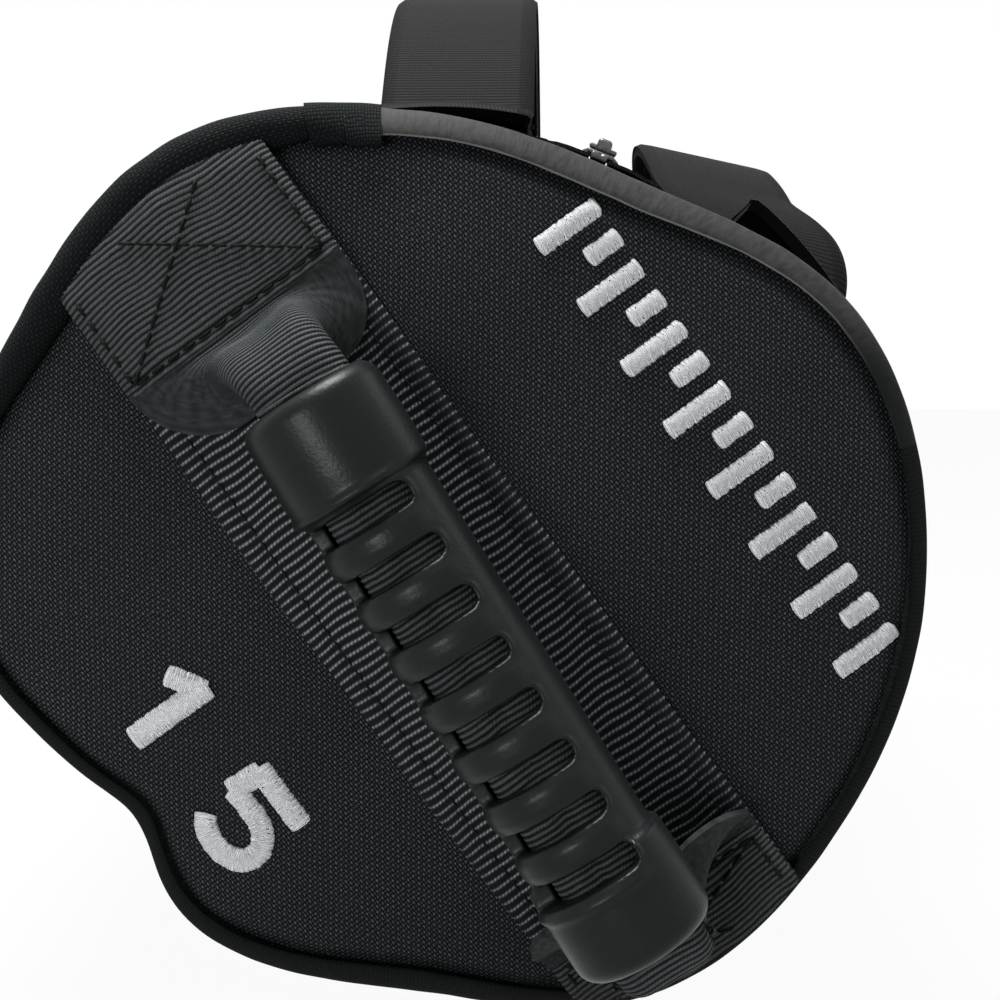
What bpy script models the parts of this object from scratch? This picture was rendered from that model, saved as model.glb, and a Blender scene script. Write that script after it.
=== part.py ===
"""Sandbag trainer: a round fabric bag of sand pouches with a rubber grip on each end and two carry straps.

Metres, +Z up. The bag lies on its side along Y, its front end towards -Y, and rests on z = 0.
Angles round the bag run clockwise from straight up, as seen from the front.
On an end, u runs along the webbing strip to the lower right, v across it to the upper right,
and w straight out of the bag.
"""
import math

import bmesh
import bpy
from mathutils import Vector

# The bag
BAG_LENGTH = 0.480
BAG_RADIUS = 0.097
SAG_DEPTH = 0.009
SHELL_WALL = 0.002
CLEARANCE = 0.0004
AROUND = 36

# Share of the bag's radius every 30 degrees, clockwise from the top, at places along the bag
FRONT_EDGE_SHARES = (0.92, 0.89, 1.03, 1.03, 0.99, 0.96, 0.84, 0.86, 0.79, 0.91, 0.96, 0.99)
FRONT_BULGE_SHARES = (0.97, 0.95, 1.03, 1.03, 1.00, 0.97, 0.92, 0.93, 0.88, 0.97, 1.00, 1.01)
FRONT_BELLY_SHARES = (0.98, 0.98, 1.00, 1.01, 0.99, 0.97, 0.97, 0.98, 1.00, 1.01, 1.01, 1.00)
MIDDLE_SHARES = (0.98, 0.98, 1.00, 1.01, 1.00, 0.98, 0.97, 0.98, 1.00, 1.01, 1.00, 1.00)
BACK_BELLY_SHARES = (0.98, 0.98, 1.00, 1.01, 1.00, 0.98, 0.97, 0.97, 0.99, 1.01, 1.01, 1.00)
BACK_BULGE_SHARES = (0.96, 0.97, 1.00, 1.01, 0.99, 0.97, 0.95, 0.95, 0.97, 1.00, 1.00, 0.99)
BACK_EDGE_SHARES = (0.91, 0.93, 0.96, 0.97, 0.96, 0.94, 0.84, 0.86, 0.92, 0.95, 0.96, 0.96)

# The fabric roll round each end, and its share of full size every 30 degrees
ROLL_RADIUS = 0.0042
ROLL_SHARES = (0.60, 0.45, 0.50, 0.50, 0.50, 0.60, 0.90, 0.80, 0.60, 0.60, 0.85, 1.00)
ROLL_SIDES = 6
SHOULDER_DEPTH = 0.006
BULGE_DEPTH = 0.018

# The end panels
PANEL_THICKNESS = 0.003
PANEL_CROWN = 0.006
PANEL_RING_SHARES = (0.05, 0.25, 0.45, 0.65, 0.85, 1.0)

# The webbing: 50 mm on the ends, 38 mm round the body and on the carry straps
END_WEBBING_WIDTH = 0.050
WEBBING_THICKNESS = 0.0018
WEBBING_COLUMNS = 6
STRIP_ROWS = 12
TAB_ROWS = 3
BAND_WIDTH = 0.038
BAND_SETBACK = 0.055
GROOVE_EDGE = 0.001
STRAP_WIDTH = 0.038
STRAP_THICKNESS = 0.003

# Direction of the end strip, as an angle below straight right seen from the front
STRIP_TILT = math.radians(54.0)

# The end handles: stitched tabs, risers that flare, and a moulded grip
UPPER_TAB_LENGTH = 0.0280
LOWER_TAB_LENGTH = 0.0157
HANDLE_STANDOFF = 0.036
GRIP_LENGTH = 0.118
GRIP_RADIUS = 0.0138
GRIP_BORE_RADIUS = 0.0096
GRIP_CENTRE_U = 0.0185
GRIP_CENTRE_V = 0.0020
GRIP_SKEW = math.radians(4.0)
GRIP_END_ROUND = 0.004
GRIP_SIDES = 22
COLLAR_LENGTH = 0.020
RECESS_DEPTH = 0.0009
WINDOW_COUNT = 8
WINDOW_PITCH = 0.0107
WINDOW_SHIFT = 0.0026
WINDOW_LENGTH = 0.0042
WINDOW_CORNER = 0.0012
WINDOW_RIGHT_REACH = 0.0080
WINDOW_FLOOR = 0.0030
CORE_WIDTH = 0.0184
CORE_THICKNESS = 0.0130
CORE_SIDES = 16
RISER_RINGS = 10
UPPER_RISER_SHARES = (0.25, 0.80)
LOWER_RISER_SHARES = (0.52, 0.11, 0.90)
STRIP_SQUARENESS = 0.35
BUNDLE_SQUARENESS = 0.75

# The carry straps
STRAP_ANCHOR_LENGTH = 0.045
STRAP_ANCHOR_SPACE = 0.021
STRAP_SHOULDER_SHARE = 0.80
STRAP_CREST_SHARE = 0.60
STRAP_ROOT_SHARE = 0.60
STRAP_ROOT_RINGS = 9
STRAP_RINGS = 12
LEFT_STRAP_HEIGHT = 0.050
LEFT_STRAP_ANGLE = math.radians(0.0)
LEFT_STRAP_LEAN = math.radians(0.0)
LEFT_STRAP_TWIST = math.radians(0.0)
RIGHT_STRAP_HEIGHT = 0.044
RIGHT_STRAP_ANGLE = math.radians(54.0)
RIGHT_STRAP_LEAN = math.radians(-72.0)
RIGHT_STRAP_TWIST = math.radians(32.0)

# The lengthwise seam, and the zipper that the pouches go in by
SEAM_ANGLE = math.radians(13.0)
SEAM_WIDTH = 0.010
SEAM_THICKNESS = 0.0008
ZIP_STRAP_SPACE = 0.00245
ZIP_END_SPACE = 0.016
ZIP_TAPE_WIDTH = 0.0135
ZIP_TAPE_THICKNESS = 0.0012
ZIP_CHAIN_WIDTH = 0.0040
ZIP_CHAIN_HEIGHT = 0.0022
ZIP_STOP_LENGTH = 0.004
ZIP_SLIDER_LENGTH = 0.012
ZIP_SLIDER_WIDTH = 0.0095
ZIP_SLIDER_HEIGHT = 0.0046
ZIP_SLIDER_WALL = 0.0010
ZIP_SLIDER_PARK = 0.018
PULL_BAR_WIDTH = 0.0018
PULL_LENGTH = 0.024
PULL_WIDTH = 0.007
PULL_THICKNESS = 0.0012
PULL_EYE_SHARE = 0.25

# The sand pouches
POUCH_SLACK = 0.019
POUCH_FLAT = 0.004
POUCH_END_RADIUS = 0.034
POUCH_END_SPACE = 0.0035
POUCH_RING_SHARES = (0.0, 0.10, 0.25, 0.45, 0.70, 1.0)
CLOSURE_LENGTH = 0.070
CLOSURE_WIDTH = 0.030
CLOSURE_THICKNESS = 0.003

# Places that follow from the sizes above
AXIS_HEIGHT = BAG_RADIUS - SAG_DEPTH
POUCH_RADIUS = BAG_RADIUS - POUCH_SLACK
ZIP_REACH = ZIP_CHAIN_WIDTH / 2 + CLEARANCE + ZIP_TAPE_WIDTH
ZIP_ANGLE = LEFT_STRAP_ANGLE + (STRAP_WIDTH / 2 + ZIP_STRAP_SPACE + ZIP_REACH) / BAG_RADIUS
BAND_PLACE = BAG_LENGTH / 2 - BAND_SETBACK
ZIP_HALF_LENGTH = BAND_PLACE - BAND_WIDTH / 2 - ZIP_END_SPACE
ZIP_SLIDER_PLACE = ZIP_SLIDER_PARK - ZIP_HALF_LENGTH
STRAP_ANCHOR_PLACE = BAND_PLACE - BAND_WIDTH / 2 - STRAP_ANCHOR_SPACE - STRAP_ANCHOR_LENGTH
RIM_PLANE = BAG_LENGTH / 2 - ROLL_RADIUS
SHELL_END = BAG_LENGTH / 2 - 2 * ROLL_RADIUS - CLEARANCE
SHOULDER_PLACE = SHELL_END - SHOULDER_DEPTH
BULGE_PLACE = SHELL_END - BULGE_DEPTH
GROOVE_DEPTH = WEBBING_THICKNESS + CLEARANCE
GROOVE_HALF = BAND_WIDTH / 2 + CLEARANCE
SEGMENT = 2 * math.pi / AROUND
STRIP_FACE = PANEL_THICKNESS / 2 + CLEARANCE
TAB_FACE = STRIP_FACE + WEBBING_THICKNESS + CLEARANCE
U_AXIS = Vector((math.cos(STRIP_TILT), 0, -math.sin(STRIP_TILT)))
V_AXIS = Vector((math.sin(STRIP_TILT), 0, math.cos(STRIP_TILT)))
SKIN_STATIONS = (
    (-SHELL_END, FRONT_EDGE_SHARES),
    (-SHOULDER_PLACE, FRONT_EDGE_SHARES),
    (-BULGE_PLACE, FRONT_BULGE_SHARES),
    (-ZIP_HALF_LENGTH, FRONT_BELLY_SHARES),
    (0, MIDDLE_SHARES),
    (ZIP_HALF_LENGTH, BACK_BELLY_SHARES),
    (BULGE_PLACE, BACK_BULGE_SHARES),
    (SHOULDER_PLACE, BACK_EDGE_SHARES),
    (SHELL_END, BACK_EDGE_SHARES),
)


def clear_scene():
    for thing in list(bpy.data.objects):
        bpy.data.objects.remove(thing)


def make_material(name, colour, roughness, metallic=0.0):
    material = bpy.data.materials.new(name)
    material.use_nodes = True
    shader = material.node_tree.nodes["Principled BSDF"]
    shader.inputs["Base Color"].default_value = (*colour, 1)
    shader.inputs["Roughness"].default_value = roughness
    shader.inputs["Metallic"].default_value = metallic
    return material


def smooth(value):
    """Ease from 0 to 1."""
    value = min(1, max(0, value))
    return value * value * (3 - 2 * value)


def around_share(shares, angle):
    """Smooth periodic reading of a table of shares that starts at the top."""
    count = len(shares)
    place = (angle / (2 * math.pi) * count) % count
    index = int(place)
    part = place - index
    before, here, after, later = (shares[(index + step) % count] for step in (-1, 0, 1, 2))
    slope = (after - before) / 2
    next_slope = (later - here) / 2
    rise = after - here
    return here + part * (slope + part * (3 * rise - 2 * slope - next_slope
                                          + part * (slope + next_slope - 2 * rise)))


def skin_share(angle, y):
    """Share of the bag's radius at a place on its skin."""
    for (start, near), (stop, far) in zip(SKIN_STATIONS, SKIN_STATIONS[1:]):
        if y <= stop:
            part = max(0, (y - start) / (stop - start))
            return around_share(near, angle) * (1 - part) + around_share(far, angle) * part
    return around_share(BACK_EDGE_SHARES, angle)


def skin_inset(y):
    """How far the skin is drawn in: under the bands, and where the ends tuck into the rolls."""
    if abs(abs(y) - BAND_PLACE) <= GROOVE_HALF + CLEARANCE / 2:
        return GROOVE_DEPTH
    if abs(y) >= SHELL_END - CLEARANCE:
        return ROLL_RADIUS / 2
    return 0


def skin_point(angle, y, lift=0):
    """Point on the skin, or lifted off it, flattened where the bag rests."""
    inset = skin_inset(y)
    radius = BAG_RADIUS * skin_share(angle, y) - inset + lift
    height = max(AXIS_HEIGHT + radius * math.cos(angle), inset - lift, 0)
    return Vector((radius * math.sin(angle), y, height))


def finish_mesh(name, mesh_data, material, smooth_angle=math.radians(40)):
    """Turn a bmesh into a named object with outward faces."""
    bmesh.ops.recalc_face_normals(mesh_data, faces=mesh_data.faces)
    mesh = bpy.data.meshes.new(name)
    mesh_data.to_mesh(mesh)
    mesh_data.free()
    mesh.materials.append(material)
    mesh.shade_smooth()
    mesh.set_sharp_from_angle(angle=smooth_angle)
    thing = bpy.data.objects.new(name, mesh)
    bpy.context.scene.collection.objects.link(thing)
    return thing


def cap_ring(mesh_data, row, flat_strip):
    """Close a ring: with one face, or with a row of four-sided faces across a strip's two sides."""
    if not flat_strip:
        mesh_data.faces.new(row)
        return
    for index in range(len(row) // 2 - 1):
        mesh_data.faces.new((row[index], row[index + 1], row[-2 - index], row[-1 - index]))


def loft(name, rings, material, joined=False, flat_strip=False):
    """Skin a row of rings of points; joined closes the row on itself, or else both ends are capped."""
    mesh_data = bmesh.new()
    rows = [[mesh_data.verts.new(point) for point in ring] for ring in rings]
    pairs = list(zip(rows, rows[1:]))
    if joined:
        pairs.append((rows[-1], rows[0]))
    for here, there in pairs:
        for index in range(len(here)):
            after = (index + 1) % len(here)
            mesh_data.faces.new((here[index], here[after], there[after], there[index]))
    if not joined:
        cap_ring(mesh_data, rows[0], flat_strip)
        cap_ring(mesh_data, rows[-1], flat_strip)
    return finish_mesh(name, mesh_data, material)


def slab(name, top_rows, bottom_rows, material):
    """A thin piece between two grids of points, lofted row by row."""
    rings = [list(top) + list(reversed(bottom)) for top, bottom in zip(top_rows, bottom_rows)]
    return loft(name, rings, material, flat_strip=True)


def steps(start, stop, count):
    """Evenly spaced values from start to stop, count + 1 of them."""
    return [start + (stop - start) * index / count for index in range(count + 1)]


def skin_slab(name, angle, width, places, lift, thickness, material, columns=4):
    """A strip that lies along the bag on its skin."""
    half = width / 2 / BAG_RADIUS
    angles = steps(angle - half, angle + half, columns)
    tops = [[skin_point(a, y, lift + thickness) for a in angles] for y in places]
    bottoms = [[skin_point(a, y, lift) for a in angles] for y in places]
    return slab(name, tops, bottoms, material)


# The body of the bag

def shell_places():
    """Places of the shell's rings along the bag."""
    half = [SHELL_END, SHOULDER_PLACE, BULGE_PLACE]
    half += [BAND_PLACE + GROOVE_HALF + GROOVE_EDGE, BAND_PLACE + GROOVE_HALF]
    half += [BAND_PLACE - GROOVE_HALF, BAND_PLACE - GROOVE_HALF - GROOVE_EDGE]
    half += [ZIP_HALF_LENGTH, ZIP_HALF_LENGTH * 2 / 3, ZIP_HALF_LENGTH / 3]
    return [-place for place in half] + [0] + list(reversed(half))


def build_shell(fabric):
    """The body fabric: a tube open at both ends, with a slot under the zipper."""
    mesh_data = bmesh.new()
    angles = [ZIP_ANGLE + (index + 0.5) * SEGMENT for index in range(AROUND)]
    places = shell_places()
    rows = [[mesh_data.verts.new(skin_point(a, y)) for a in angles] for y in places]
    for row, (here, there) in enumerate(zip(rows, rows[1:])):
        in_zip = abs(places[row] + places[row + 1]) / 2 < ZIP_HALF_LENGTH
        for index in range(AROUND):
            if in_zip and index == AROUND - 1:
                continue
            after = (index + 1) % AROUND
            mesh_data.faces.new((here[index], here[after], there[after], there[index]))
    shell = finish_mesh("body_shell", mesh_data, fabric)
    wall = shell.modifiers.new("wall", "SOLIDIFY")
    wall.thickness = SHELL_WALL
    wall.offset = -1
    return shell


def build_band(name, side, webbing):
    """A webbing band sewn round the body in its drawn-in groove."""
    half = BAND_WIDTH / 2
    low, high = side * BAND_PLACE - half, side * BAND_PLACE + half
    inner, outer = CLEARANCE, CLEARANCE + WEBBING_THICKNESS
    rings = []
    for index in range(AROUND):
        angle = ZIP_ANGLE + (index + 0.5) * SEGMENT
        corners = ((low, inner), (high, inner), (high, outer), (low, outer))
        rings.append([skin_point(angle, y, lift) for y, lift in corners])
    return loft(name, rings, webbing, joined=True)


def build_seam_tape(name, side, fabric):
    """The lapped lengthwise seam between an end's shoulder and its band."""
    inner = BAND_PLACE + GROOVE_HALF + GROOVE_EDGE
    places = [side * place for place in (SHOULDER_PLACE, BULGE_PLACE, inner)]
    return skin_slab(name, SEAM_ANGLE, SEAM_WIDTH, places, CLEARANCE, SEAM_THICKNESS, fabric, columns=2)


# The two ends

def edge_shares(side):
    return FRONT_EDGE_SHARES if side < 0 else BACK_EDGE_SHARES


def roll_radius(angle):
    return ROLL_RADIUS * around_share(ROLL_SHARES, angle)


def panel_radius(side, angle):
    """Radius of an end panel's cut edge, inside its fabric roll."""
    edge = BAG_RADIUS * around_share(edge_shares(side), angle)
    return edge - 2 * roll_radius(angle) - CLEARANCE


def end_point(side, u, v, w):
    """A place on an end as a point of the bag."""
    flat = U_AXIS * u + V_AXIS * v
    return Vector((flat.x, side * (RIM_PLANE + w), AXIS_HEIGHT + flat.z))


def plane_angle(u, v):
    """Angle round the bag of a place on an end."""
    flat = U_AXIS * u + V_AXIS * v
    return math.atan2(flat.x, flat.z)


def crown(side, u, v):
    """How far an end panel bulges out at a place."""
    share = math.hypot(u, v) / panel_radius(side, plane_angle(u, v))
    return PANEL_CROWN * max(0, 1 - share * share)


def rim_reach(side, direction, v):
    """Where a line along the strip at v meets the panel's cut edge."""
    low, high = 0.0, BAG_RADIUS
    for _ in range(30):
        middle = (low + high) / 2
        u = direction * middle
        inside = math.hypot(u, v) < panel_radius(side, plane_angle(u, v)) - CLEARANCE
        low, high = (middle, high) if inside else (low, middle)
    return direction * low


def tab_edge(side, end):
    """Place along the strip of a tab's inner edge: -1 for the upper tab, 1 for the lower."""
    length = UPPER_TAB_LENGTH if end < 0 else LOWER_TAB_LENGTH
    return rim_reach(side, end, 0) - end * length


def build_roll(name, side, fabric):
    """The turned fabric roll that closes the rim of an end."""
    rings = []
    for index in range(AROUND):
        angle = index * SEGMENT
        size = roll_radius(angle)
        radius = BAG_RADIUS * around_share(edge_shares(side), angle) - size
        height = max(AXIS_HEIGHT + radius * math.cos(angle), size)
        centre = Vector((radius * math.sin(angle), side * RIM_PLANE, height))
        outward = Vector((math.sin(angle), 0, math.cos(angle)))
        ring = []
        for step in range(ROLL_SIDES):
            turn = 2 * math.pi * step / ROLL_SIDES
            ring.append(centre + outward * (size * math.cos(turn)) + Vector((0, size * math.sin(turn), 0)))
        rings.append(ring)
    return loft(name, rings, fabric, joined=True)


def build_panel(name, side, fabric):
    """A round end panel, crowned by the sand behind it."""
    rings = []
    faces = [(share, PANEL_THICKNESS / 2) for share in PANEL_RING_SHARES]
    faces += [(share, -PANEL_THICKNESS / 2) for share in reversed(PANEL_RING_SHARES)]
    for share, offset in faces:
        ring = []
        for index in range(AROUND):
            angle = index * SEGMENT
            radius = share * panel_radius(side, angle)
            out = PANEL_CROWN * (1 - share * share) + offset
            height = AXIS_HEIGHT + radius * math.cos(angle)
            ring.append(Vector((radius * math.sin(angle), side * (RIM_PLANE + out), height)))
        rings.append(ring)
    return loft(name, rings, fabric)


def end_slab(name, side, start, stop, base, webbing, rows):
    """Webbing that lies on an end from start to stop along the strip; None stands for the rim."""
    half = END_WEBBING_WIDTH / 2
    columns = steps(-half, half, WEBBING_COLUMNS)
    limits = []
    for v in columns:
        low = rim_reach(side, -1, v) if start is None else start
        high = rim_reach(side, 1, v) if stop is None else stop
        limits.append((low, high))
    tops, bottoms = [], []
    for share in steps(0, 1, rows):
        places = [(low + (high - low) * share, v) for (low, high), v in zip(limits, columns)]
        top_out = base + WEBBING_THICKNESS
        tops.append([end_point(side, u, v, crown(side, u, v) + top_out) for u, v in places])
        bottoms.append([end_point(side, u, v, crown(side, u, v) + base) for u, v in places])
    return slab(name, tops, bottoms, webbing)


def grip_axis_point(distance):
    """Place (u, v) on the grip's axis at a distance from its middle."""
    return (GRIP_CENTRE_U + distance * math.cos(GRIP_SKEW), GRIP_CENTRE_V - distance * math.sin(GRIP_SKEW))


def grip_point(side, distance, across, out):
    """A place on the grip as a point of the bag."""
    u, v = grip_axis_point(distance)
    u += across * math.sin(GRIP_SKEW)
    v += across * math.cos(GRIP_SKEW)
    return end_point(side, u, v, HANDLE_STANDOFF + out)


def flat_ring_shape(half_width, half_thickness, squareness, count):
    """Points (across, out) of a section that goes from a flat strip to a rounded bundle."""
    points = []
    for index in range(count):
        turn = 2 * math.pi * (index + 0.5) / count
        cosine, sine = math.cos(turn), math.sin(turn)
        across = half_width * math.copysign(abs(cosine) ** squareness, cosine)
        out = half_thickness * math.copysign(abs(sine) ** squareness, sine)
        points.append((across, out))
    return points


def bezier(points, share):
    """Point and direction on a cubic curve through four control points."""
    a, b, c, d = points
    rest = 1 - share
    place = a * rest ** 3 + b * (3 * rest * rest * share) + c * (3 * rest * share * share) + d * share ** 3
    slope = (b - a) * (rest * rest) + (c - b) * (2 * rest * share) + (d - c) * (share * share)
    return place, slope.normalized()


def riser_curve(side, end):
    """Control points (u, w) of a riser, from its tab's edge into the grip's end."""
    edge = tab_edge(side, end)
    base = crown(side, edge, 0) + TAB_FACE + WEBBING_THICKNESS / 2
    start = Vector((edge - end * CLEARANCE, base))
    stop_u, _ = grip_axis_point(end * (GRIP_LENGTH / 2 + 2 * CLEARANCE))
    stop = Vector((stop_u, HANDLE_STANDOFF))
    lean = HANDLE_STANDOFF - base
    if end < 0:
        leave, enter = UPPER_RISER_SHARES
        first = start + Vector((lean * leave, 0))
        second = stop - Vector((lean * enter, 0))
    else:
        leave, lift, enter = LOWER_RISER_SHARES
        first = Vector((stop_u - lean * leave, base + lean * lift))
        second = stop + Vector((lean * enter, 0))
    return start, first, second, stop


def build_riser(name, side, end, webbing):
    """Webbing that leaves the tab flat and gathers into the end of the grip."""
    curve = riser_curve(side, end)
    _, stop_v = grip_axis_point(end * GRIP_LENGTH / 2)
    rings = []
    for share in steps(0, 1, RISER_RINGS):
        (u, w), (along, rise) = bezier(curve, share)
        gather = smooth(share)
        half_width = (END_WEBBING_WIDTH * (1 - gather) + CORE_WIDTH * gather) / 2
        bundle = smooth(share * share)
        half_thickness = (WEBBING_THICKNESS * (1 - bundle) + CORE_THICKNESS * bundle) / 2
        squareness = STRIP_SQUARENESS + (BUNDLE_SQUARENESS - STRIP_SQUARENESS) * gather
        shape = flat_ring_shape(half_width, half_thickness, squareness, CORE_SIDES)
        turn = GRIP_SKEW * gather
        ring = []
        for across, out in shape:
            place_u = u - out * rise + across * math.sin(turn)
            place_v = stop_v * gather + across * math.cos(turn)
            ring.append(end_point(side, place_u, place_v, w + out * along))
        rings.append(ring)
    return loft(name, rings, webbing)


def build_core(name, side, webbing):
    """The folded webbing that runs through the grip."""
    shape = flat_ring_shape(CORE_WIDTH / 2, CORE_THICKNESS / 2, BUNDLE_SQUARENESS, CORE_SIDES)
    half = GRIP_LENGTH / 2 + CLEARANCE
    rings = [[grip_point(side, x, across, out) for across, out in shape] for x in steps(-half, half, 4)]
    return loft(name, rings, webbing)


def grip_profile():
    """Outer profile of the grip: (distance, radius) with rounded ends and a shallow finger recess."""
    half = GRIP_LENGTH / 2
    profile = []
    for turn in steps(0, math.pi / 2, 4):
        inner = half - GRIP_END_ROUND * (1 - math.sin(turn))
        profile.append((inner, GRIP_RADIUS - GRIP_END_ROUND * (1 - math.cos(turn))))
    profile.reverse()
    collar = half - COLLAR_LENGTH
    profile.append((collar, GRIP_RADIUS))
    profile.append((collar - RECESS_DEPTH * 2, GRIP_RADIUS - RECESS_DEPTH))
    return profile + [(-x, radius) for x, radius in reversed(profile)]


def build_grip(name, side, rubber):
    """The moulded rubber grip, with eight windows that show the webbing."""
    mesh_data = bmesh.new()
    half = GRIP_LENGTH / 2
    outline = grip_profile()
    outline += [(-half, GRIP_BORE_RADIUS), (half, GRIP_BORE_RADIUS)]
    rows = []
    for x, radius in outline:
        row = []
        for index in range(GRIP_SIDES):
            turn = 2 * math.pi * index / GRIP_SIDES
            point = grip_point(side, x, radius * math.sin(turn), radius * math.cos(turn))
            row.append(mesh_data.verts.new(point))
        rows.append(row)
    for here, there in zip(rows, rows[1:] + rows[:1]):
        for index in range(GRIP_SIDES):
            after = (index + 1) % GRIP_SIDES
            mesh_data.faces.new((here[index], here[after], there[after], there[index]))
    grip = finish_mesh(name, mesh_data, rubber)
    cutter = build_window_cutter(name + "_window_cutter", side, rubber)
    shape_with(grip, cutter, "DIFFERENCE")


def build_window_cutter(name, side, material):
    """Eight rounded blocks that cut the grip's windows through its front and left wall."""
    mesh_data = bmesh.new()
    left, right = -2 * GRIP_RADIUS, WINDOW_RIGHT_REACH
    for index in range(WINDOW_COUNT):
        middle = (index - (WINDOW_COUNT - 1) / 2) * WINDOW_PITCH + WINDOW_SHIFT
        half = WINDOW_LENGTH / 2
        corners = [(middle - half, left), (middle - half, right - WINDOW_CORNER)]
        corners += [(middle - half + WINDOW_CORNER, right), (middle + half - WINDOW_CORNER, right)]
        corners += [(middle + half, right - WINDOW_CORNER), (middle + half, left)]
        rings = []
        for out in (WINDOW_FLOOR, 2 * GRIP_RADIUS):
            rings.append([mesh_data.verts.new(grip_point(side, x, across, out)) for x, across in corners])
        for step in range(len(corners)):
            after = (step + 1) % len(corners)
            mesh_data.faces.new((rings[0][step], rings[0][after], rings[1][after], rings[1][step]))
        mesh_data.faces.new(rings[0])
        mesh_data.faces.new(rings[1])
    return finish_mesh(name, mesh_data, material)


def build_end(word, side, fabric, webbing, rubber):
    """An end panel with its strip, roll and gripped handle."""
    build_panel(word + "_end_panel", side, fabric)
    build_roll(word + "_rim_roll", side, fabric)
    end_slab(word + "_end_strip", side, None, None, STRIP_FACE, webbing, STRIP_ROWS)
    end_slab(word + "_handle_upper_tab", side, None, tab_edge(side, -1), TAB_FACE, webbing, TAB_ROWS)
    end_slab(word + "_handle_lower_tab", side, tab_edge(side, 1), None, TAB_FACE, webbing, TAB_ROWS)
    build_riser(word + "_handle_upper_riser", side, -1, webbing)
    build_riser(word + "_handle_lower_riser", side, 1, webbing)
    build_core(word + "_handle_core", side, webbing)
    build_grip(word + "_handle_grip", side, rubber)


# The carry straps

def strap_curve(side, height):
    """Control points (y, height) of half a carry strap, from its anchor to the middle."""
    start = Vector((side * (STRAP_ANCHOR_PLACE - CLEARANCE), STRAP_THICKNESS / 2 + CLEARANCE))
    first = Vector((side * STRAP_ANCHOR_PLACE * STRAP_SHOULDER_SHARE, start.y + STRAP_THICKNESS))
    second = Vector((side * STRAP_ANCHOR_PLACE * STRAP_CREST_SHARE, height))
    return start, first, second, Vector((0, height))


def strap_ring(pose, side, share):
    """Section of a carry strap at a share of the way from its anchor to its middle."""
    angle, lean, twist, height = pose
    (y, lift), (along, rise) = bezier(strap_curve(side, height), share)
    bend = smooth(share / STRAP_ROOT_SHARE)
    turn = angle + lean * bend
    out = Vector((math.sin(turn), 0, math.cos(turn)))
    across = Vector((math.cos(turn), 0, -math.sin(turn)))
    upper = (Vector((0, rise, 0)) - out * along) * side
    foot = skin_point(angle, side * STRAP_ANCHOR_PLACE)
    centre = Vector((foot.x, y, foot.z)) + out * lift
    cosine, sine = math.cos(twist * bend), math.sin(twist * bend)
    thick = (upper * cosine + across * sine) * (-side * STRAP_THICKNESS / 2)
    wide = (across * cosine - upper * sine) * (STRAP_WIDTH / 2)
    return [centre + wide + thick, centre - wide + thick, centre - wide - thick, centre + wide - thick]


def build_strap(word, pose, webbing):
    """A carry strap: two sewn anchors, two bending roots and the arch that the hand holds."""
    angle = pose[0]
    for end, side in (("front", -1), ("back", 1)):
        places = [side * STRAP_ANCHOR_PLACE, side * (STRAP_ANCHOR_PLACE + STRAP_ANCHOR_LENGTH)]
        name = word + "_strap_" + end
        skin_slab(name + "_anchor", angle, STRAP_WIDTH, places, CLEARANCE, STRAP_THICKNESS, webbing, columns=6)
        shares = steps(0, STRAP_ROOT_SHARE, STRAP_ROOT_RINGS)
        rings = [strap_ring(pose, side, share) for share in shares]
        loft(name + "_root", rings, webbing)
    start = STRAP_ROOT_SHARE + 2 * CLEARANCE / STRAP_ANCHOR_PLACE
    shares = steps(start, 1, STRAP_RINGS // 2)
    front = [strap_ring(pose, -1, share) for share in shares]
    back = [strap_ring(pose, 1, share) for share in shares[:-1]]
    back = [[ring[3], ring[2], ring[1], ring[0]] for ring in reversed(back)]
    loft(word + "_strap_arch", front + back, webbing)


# The zipper

def zip_frame():
    """Directions at the zipper: out of the bag and across the zipper."""
    out = Vector((math.sin(ZIP_ANGLE), 0, math.cos(ZIP_ANGLE)))
    across = Vector((math.cos(ZIP_ANGLE), 0, -math.sin(ZIP_ANGLE)))
    return out, across


def zip_point(across_place, y, lift):
    """A place on the zipper, lifted off the tapes' outer face."""
    out, across = zip_frame()
    foot = skin_point(ZIP_ANGLE, ZIP_SLIDER_PLACE)
    base = Vector((foot.x, 0, foot.z))
    return base + across * across_place + out * lift + Vector((0, y, 0))


def build_zip(fabric, metal):
    """Zipper tapes over the slot, the chain, its end stops, and the slider with its pull."""
    outer = ZIP_CHAIN_WIDTH / 2 + CLEARANCE
    shift = (outer + ZIP_TAPE_WIDTH / 2) / BAG_RADIUS
    places = [-ZIP_HALF_LENGTH, 0, ZIP_HALF_LENGTH]
    for word, direction in (("left", -1), ("right", 1)):
        skin_slab("zipper_" + word + "_tape", ZIP_ANGLE + direction * shift, ZIP_TAPE_WIDTH, places,
                  CLEARANCE, ZIP_TAPE_THICKNESS, fabric)
    chain_end = ZIP_HALF_LENGTH - ZIP_STOP_LENGTH - CLEARANCE
    chain_places = [-chain_end, 0, chain_end]
    skin_slab("zipper_chain", ZIP_ANGLE, ZIP_CHAIN_WIDTH, chain_places, CLEARANCE, ZIP_CHAIN_HEIGHT,
              fabric, columns=2)
    for word, side in (("front", -1), ("back", 1)):
        stop_places = [side * (ZIP_HALF_LENGTH - ZIP_STOP_LENGTH), side * ZIP_HALF_LENGTH]
        skin_slab("zipper_" + word + "_stop", ZIP_ANGLE, ZIP_CHAIN_WIDTH, stop_places, CLEARANCE,
                  ZIP_CHAIN_HEIGHT, metal, columns=2)
    build_slider(metal)
    build_pull(metal)


def slider_base():
    """Lift of the slider's underside, just over the chain."""
    return 2 * CLEARANCE + ZIP_CHAIN_HEIGHT


def pin_lift():
    """Lift of the pull's hinge bar, in the middle of the slider's bridge."""
    return slider_base() + ZIP_SLIDER_HEIGHT / 2


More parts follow.
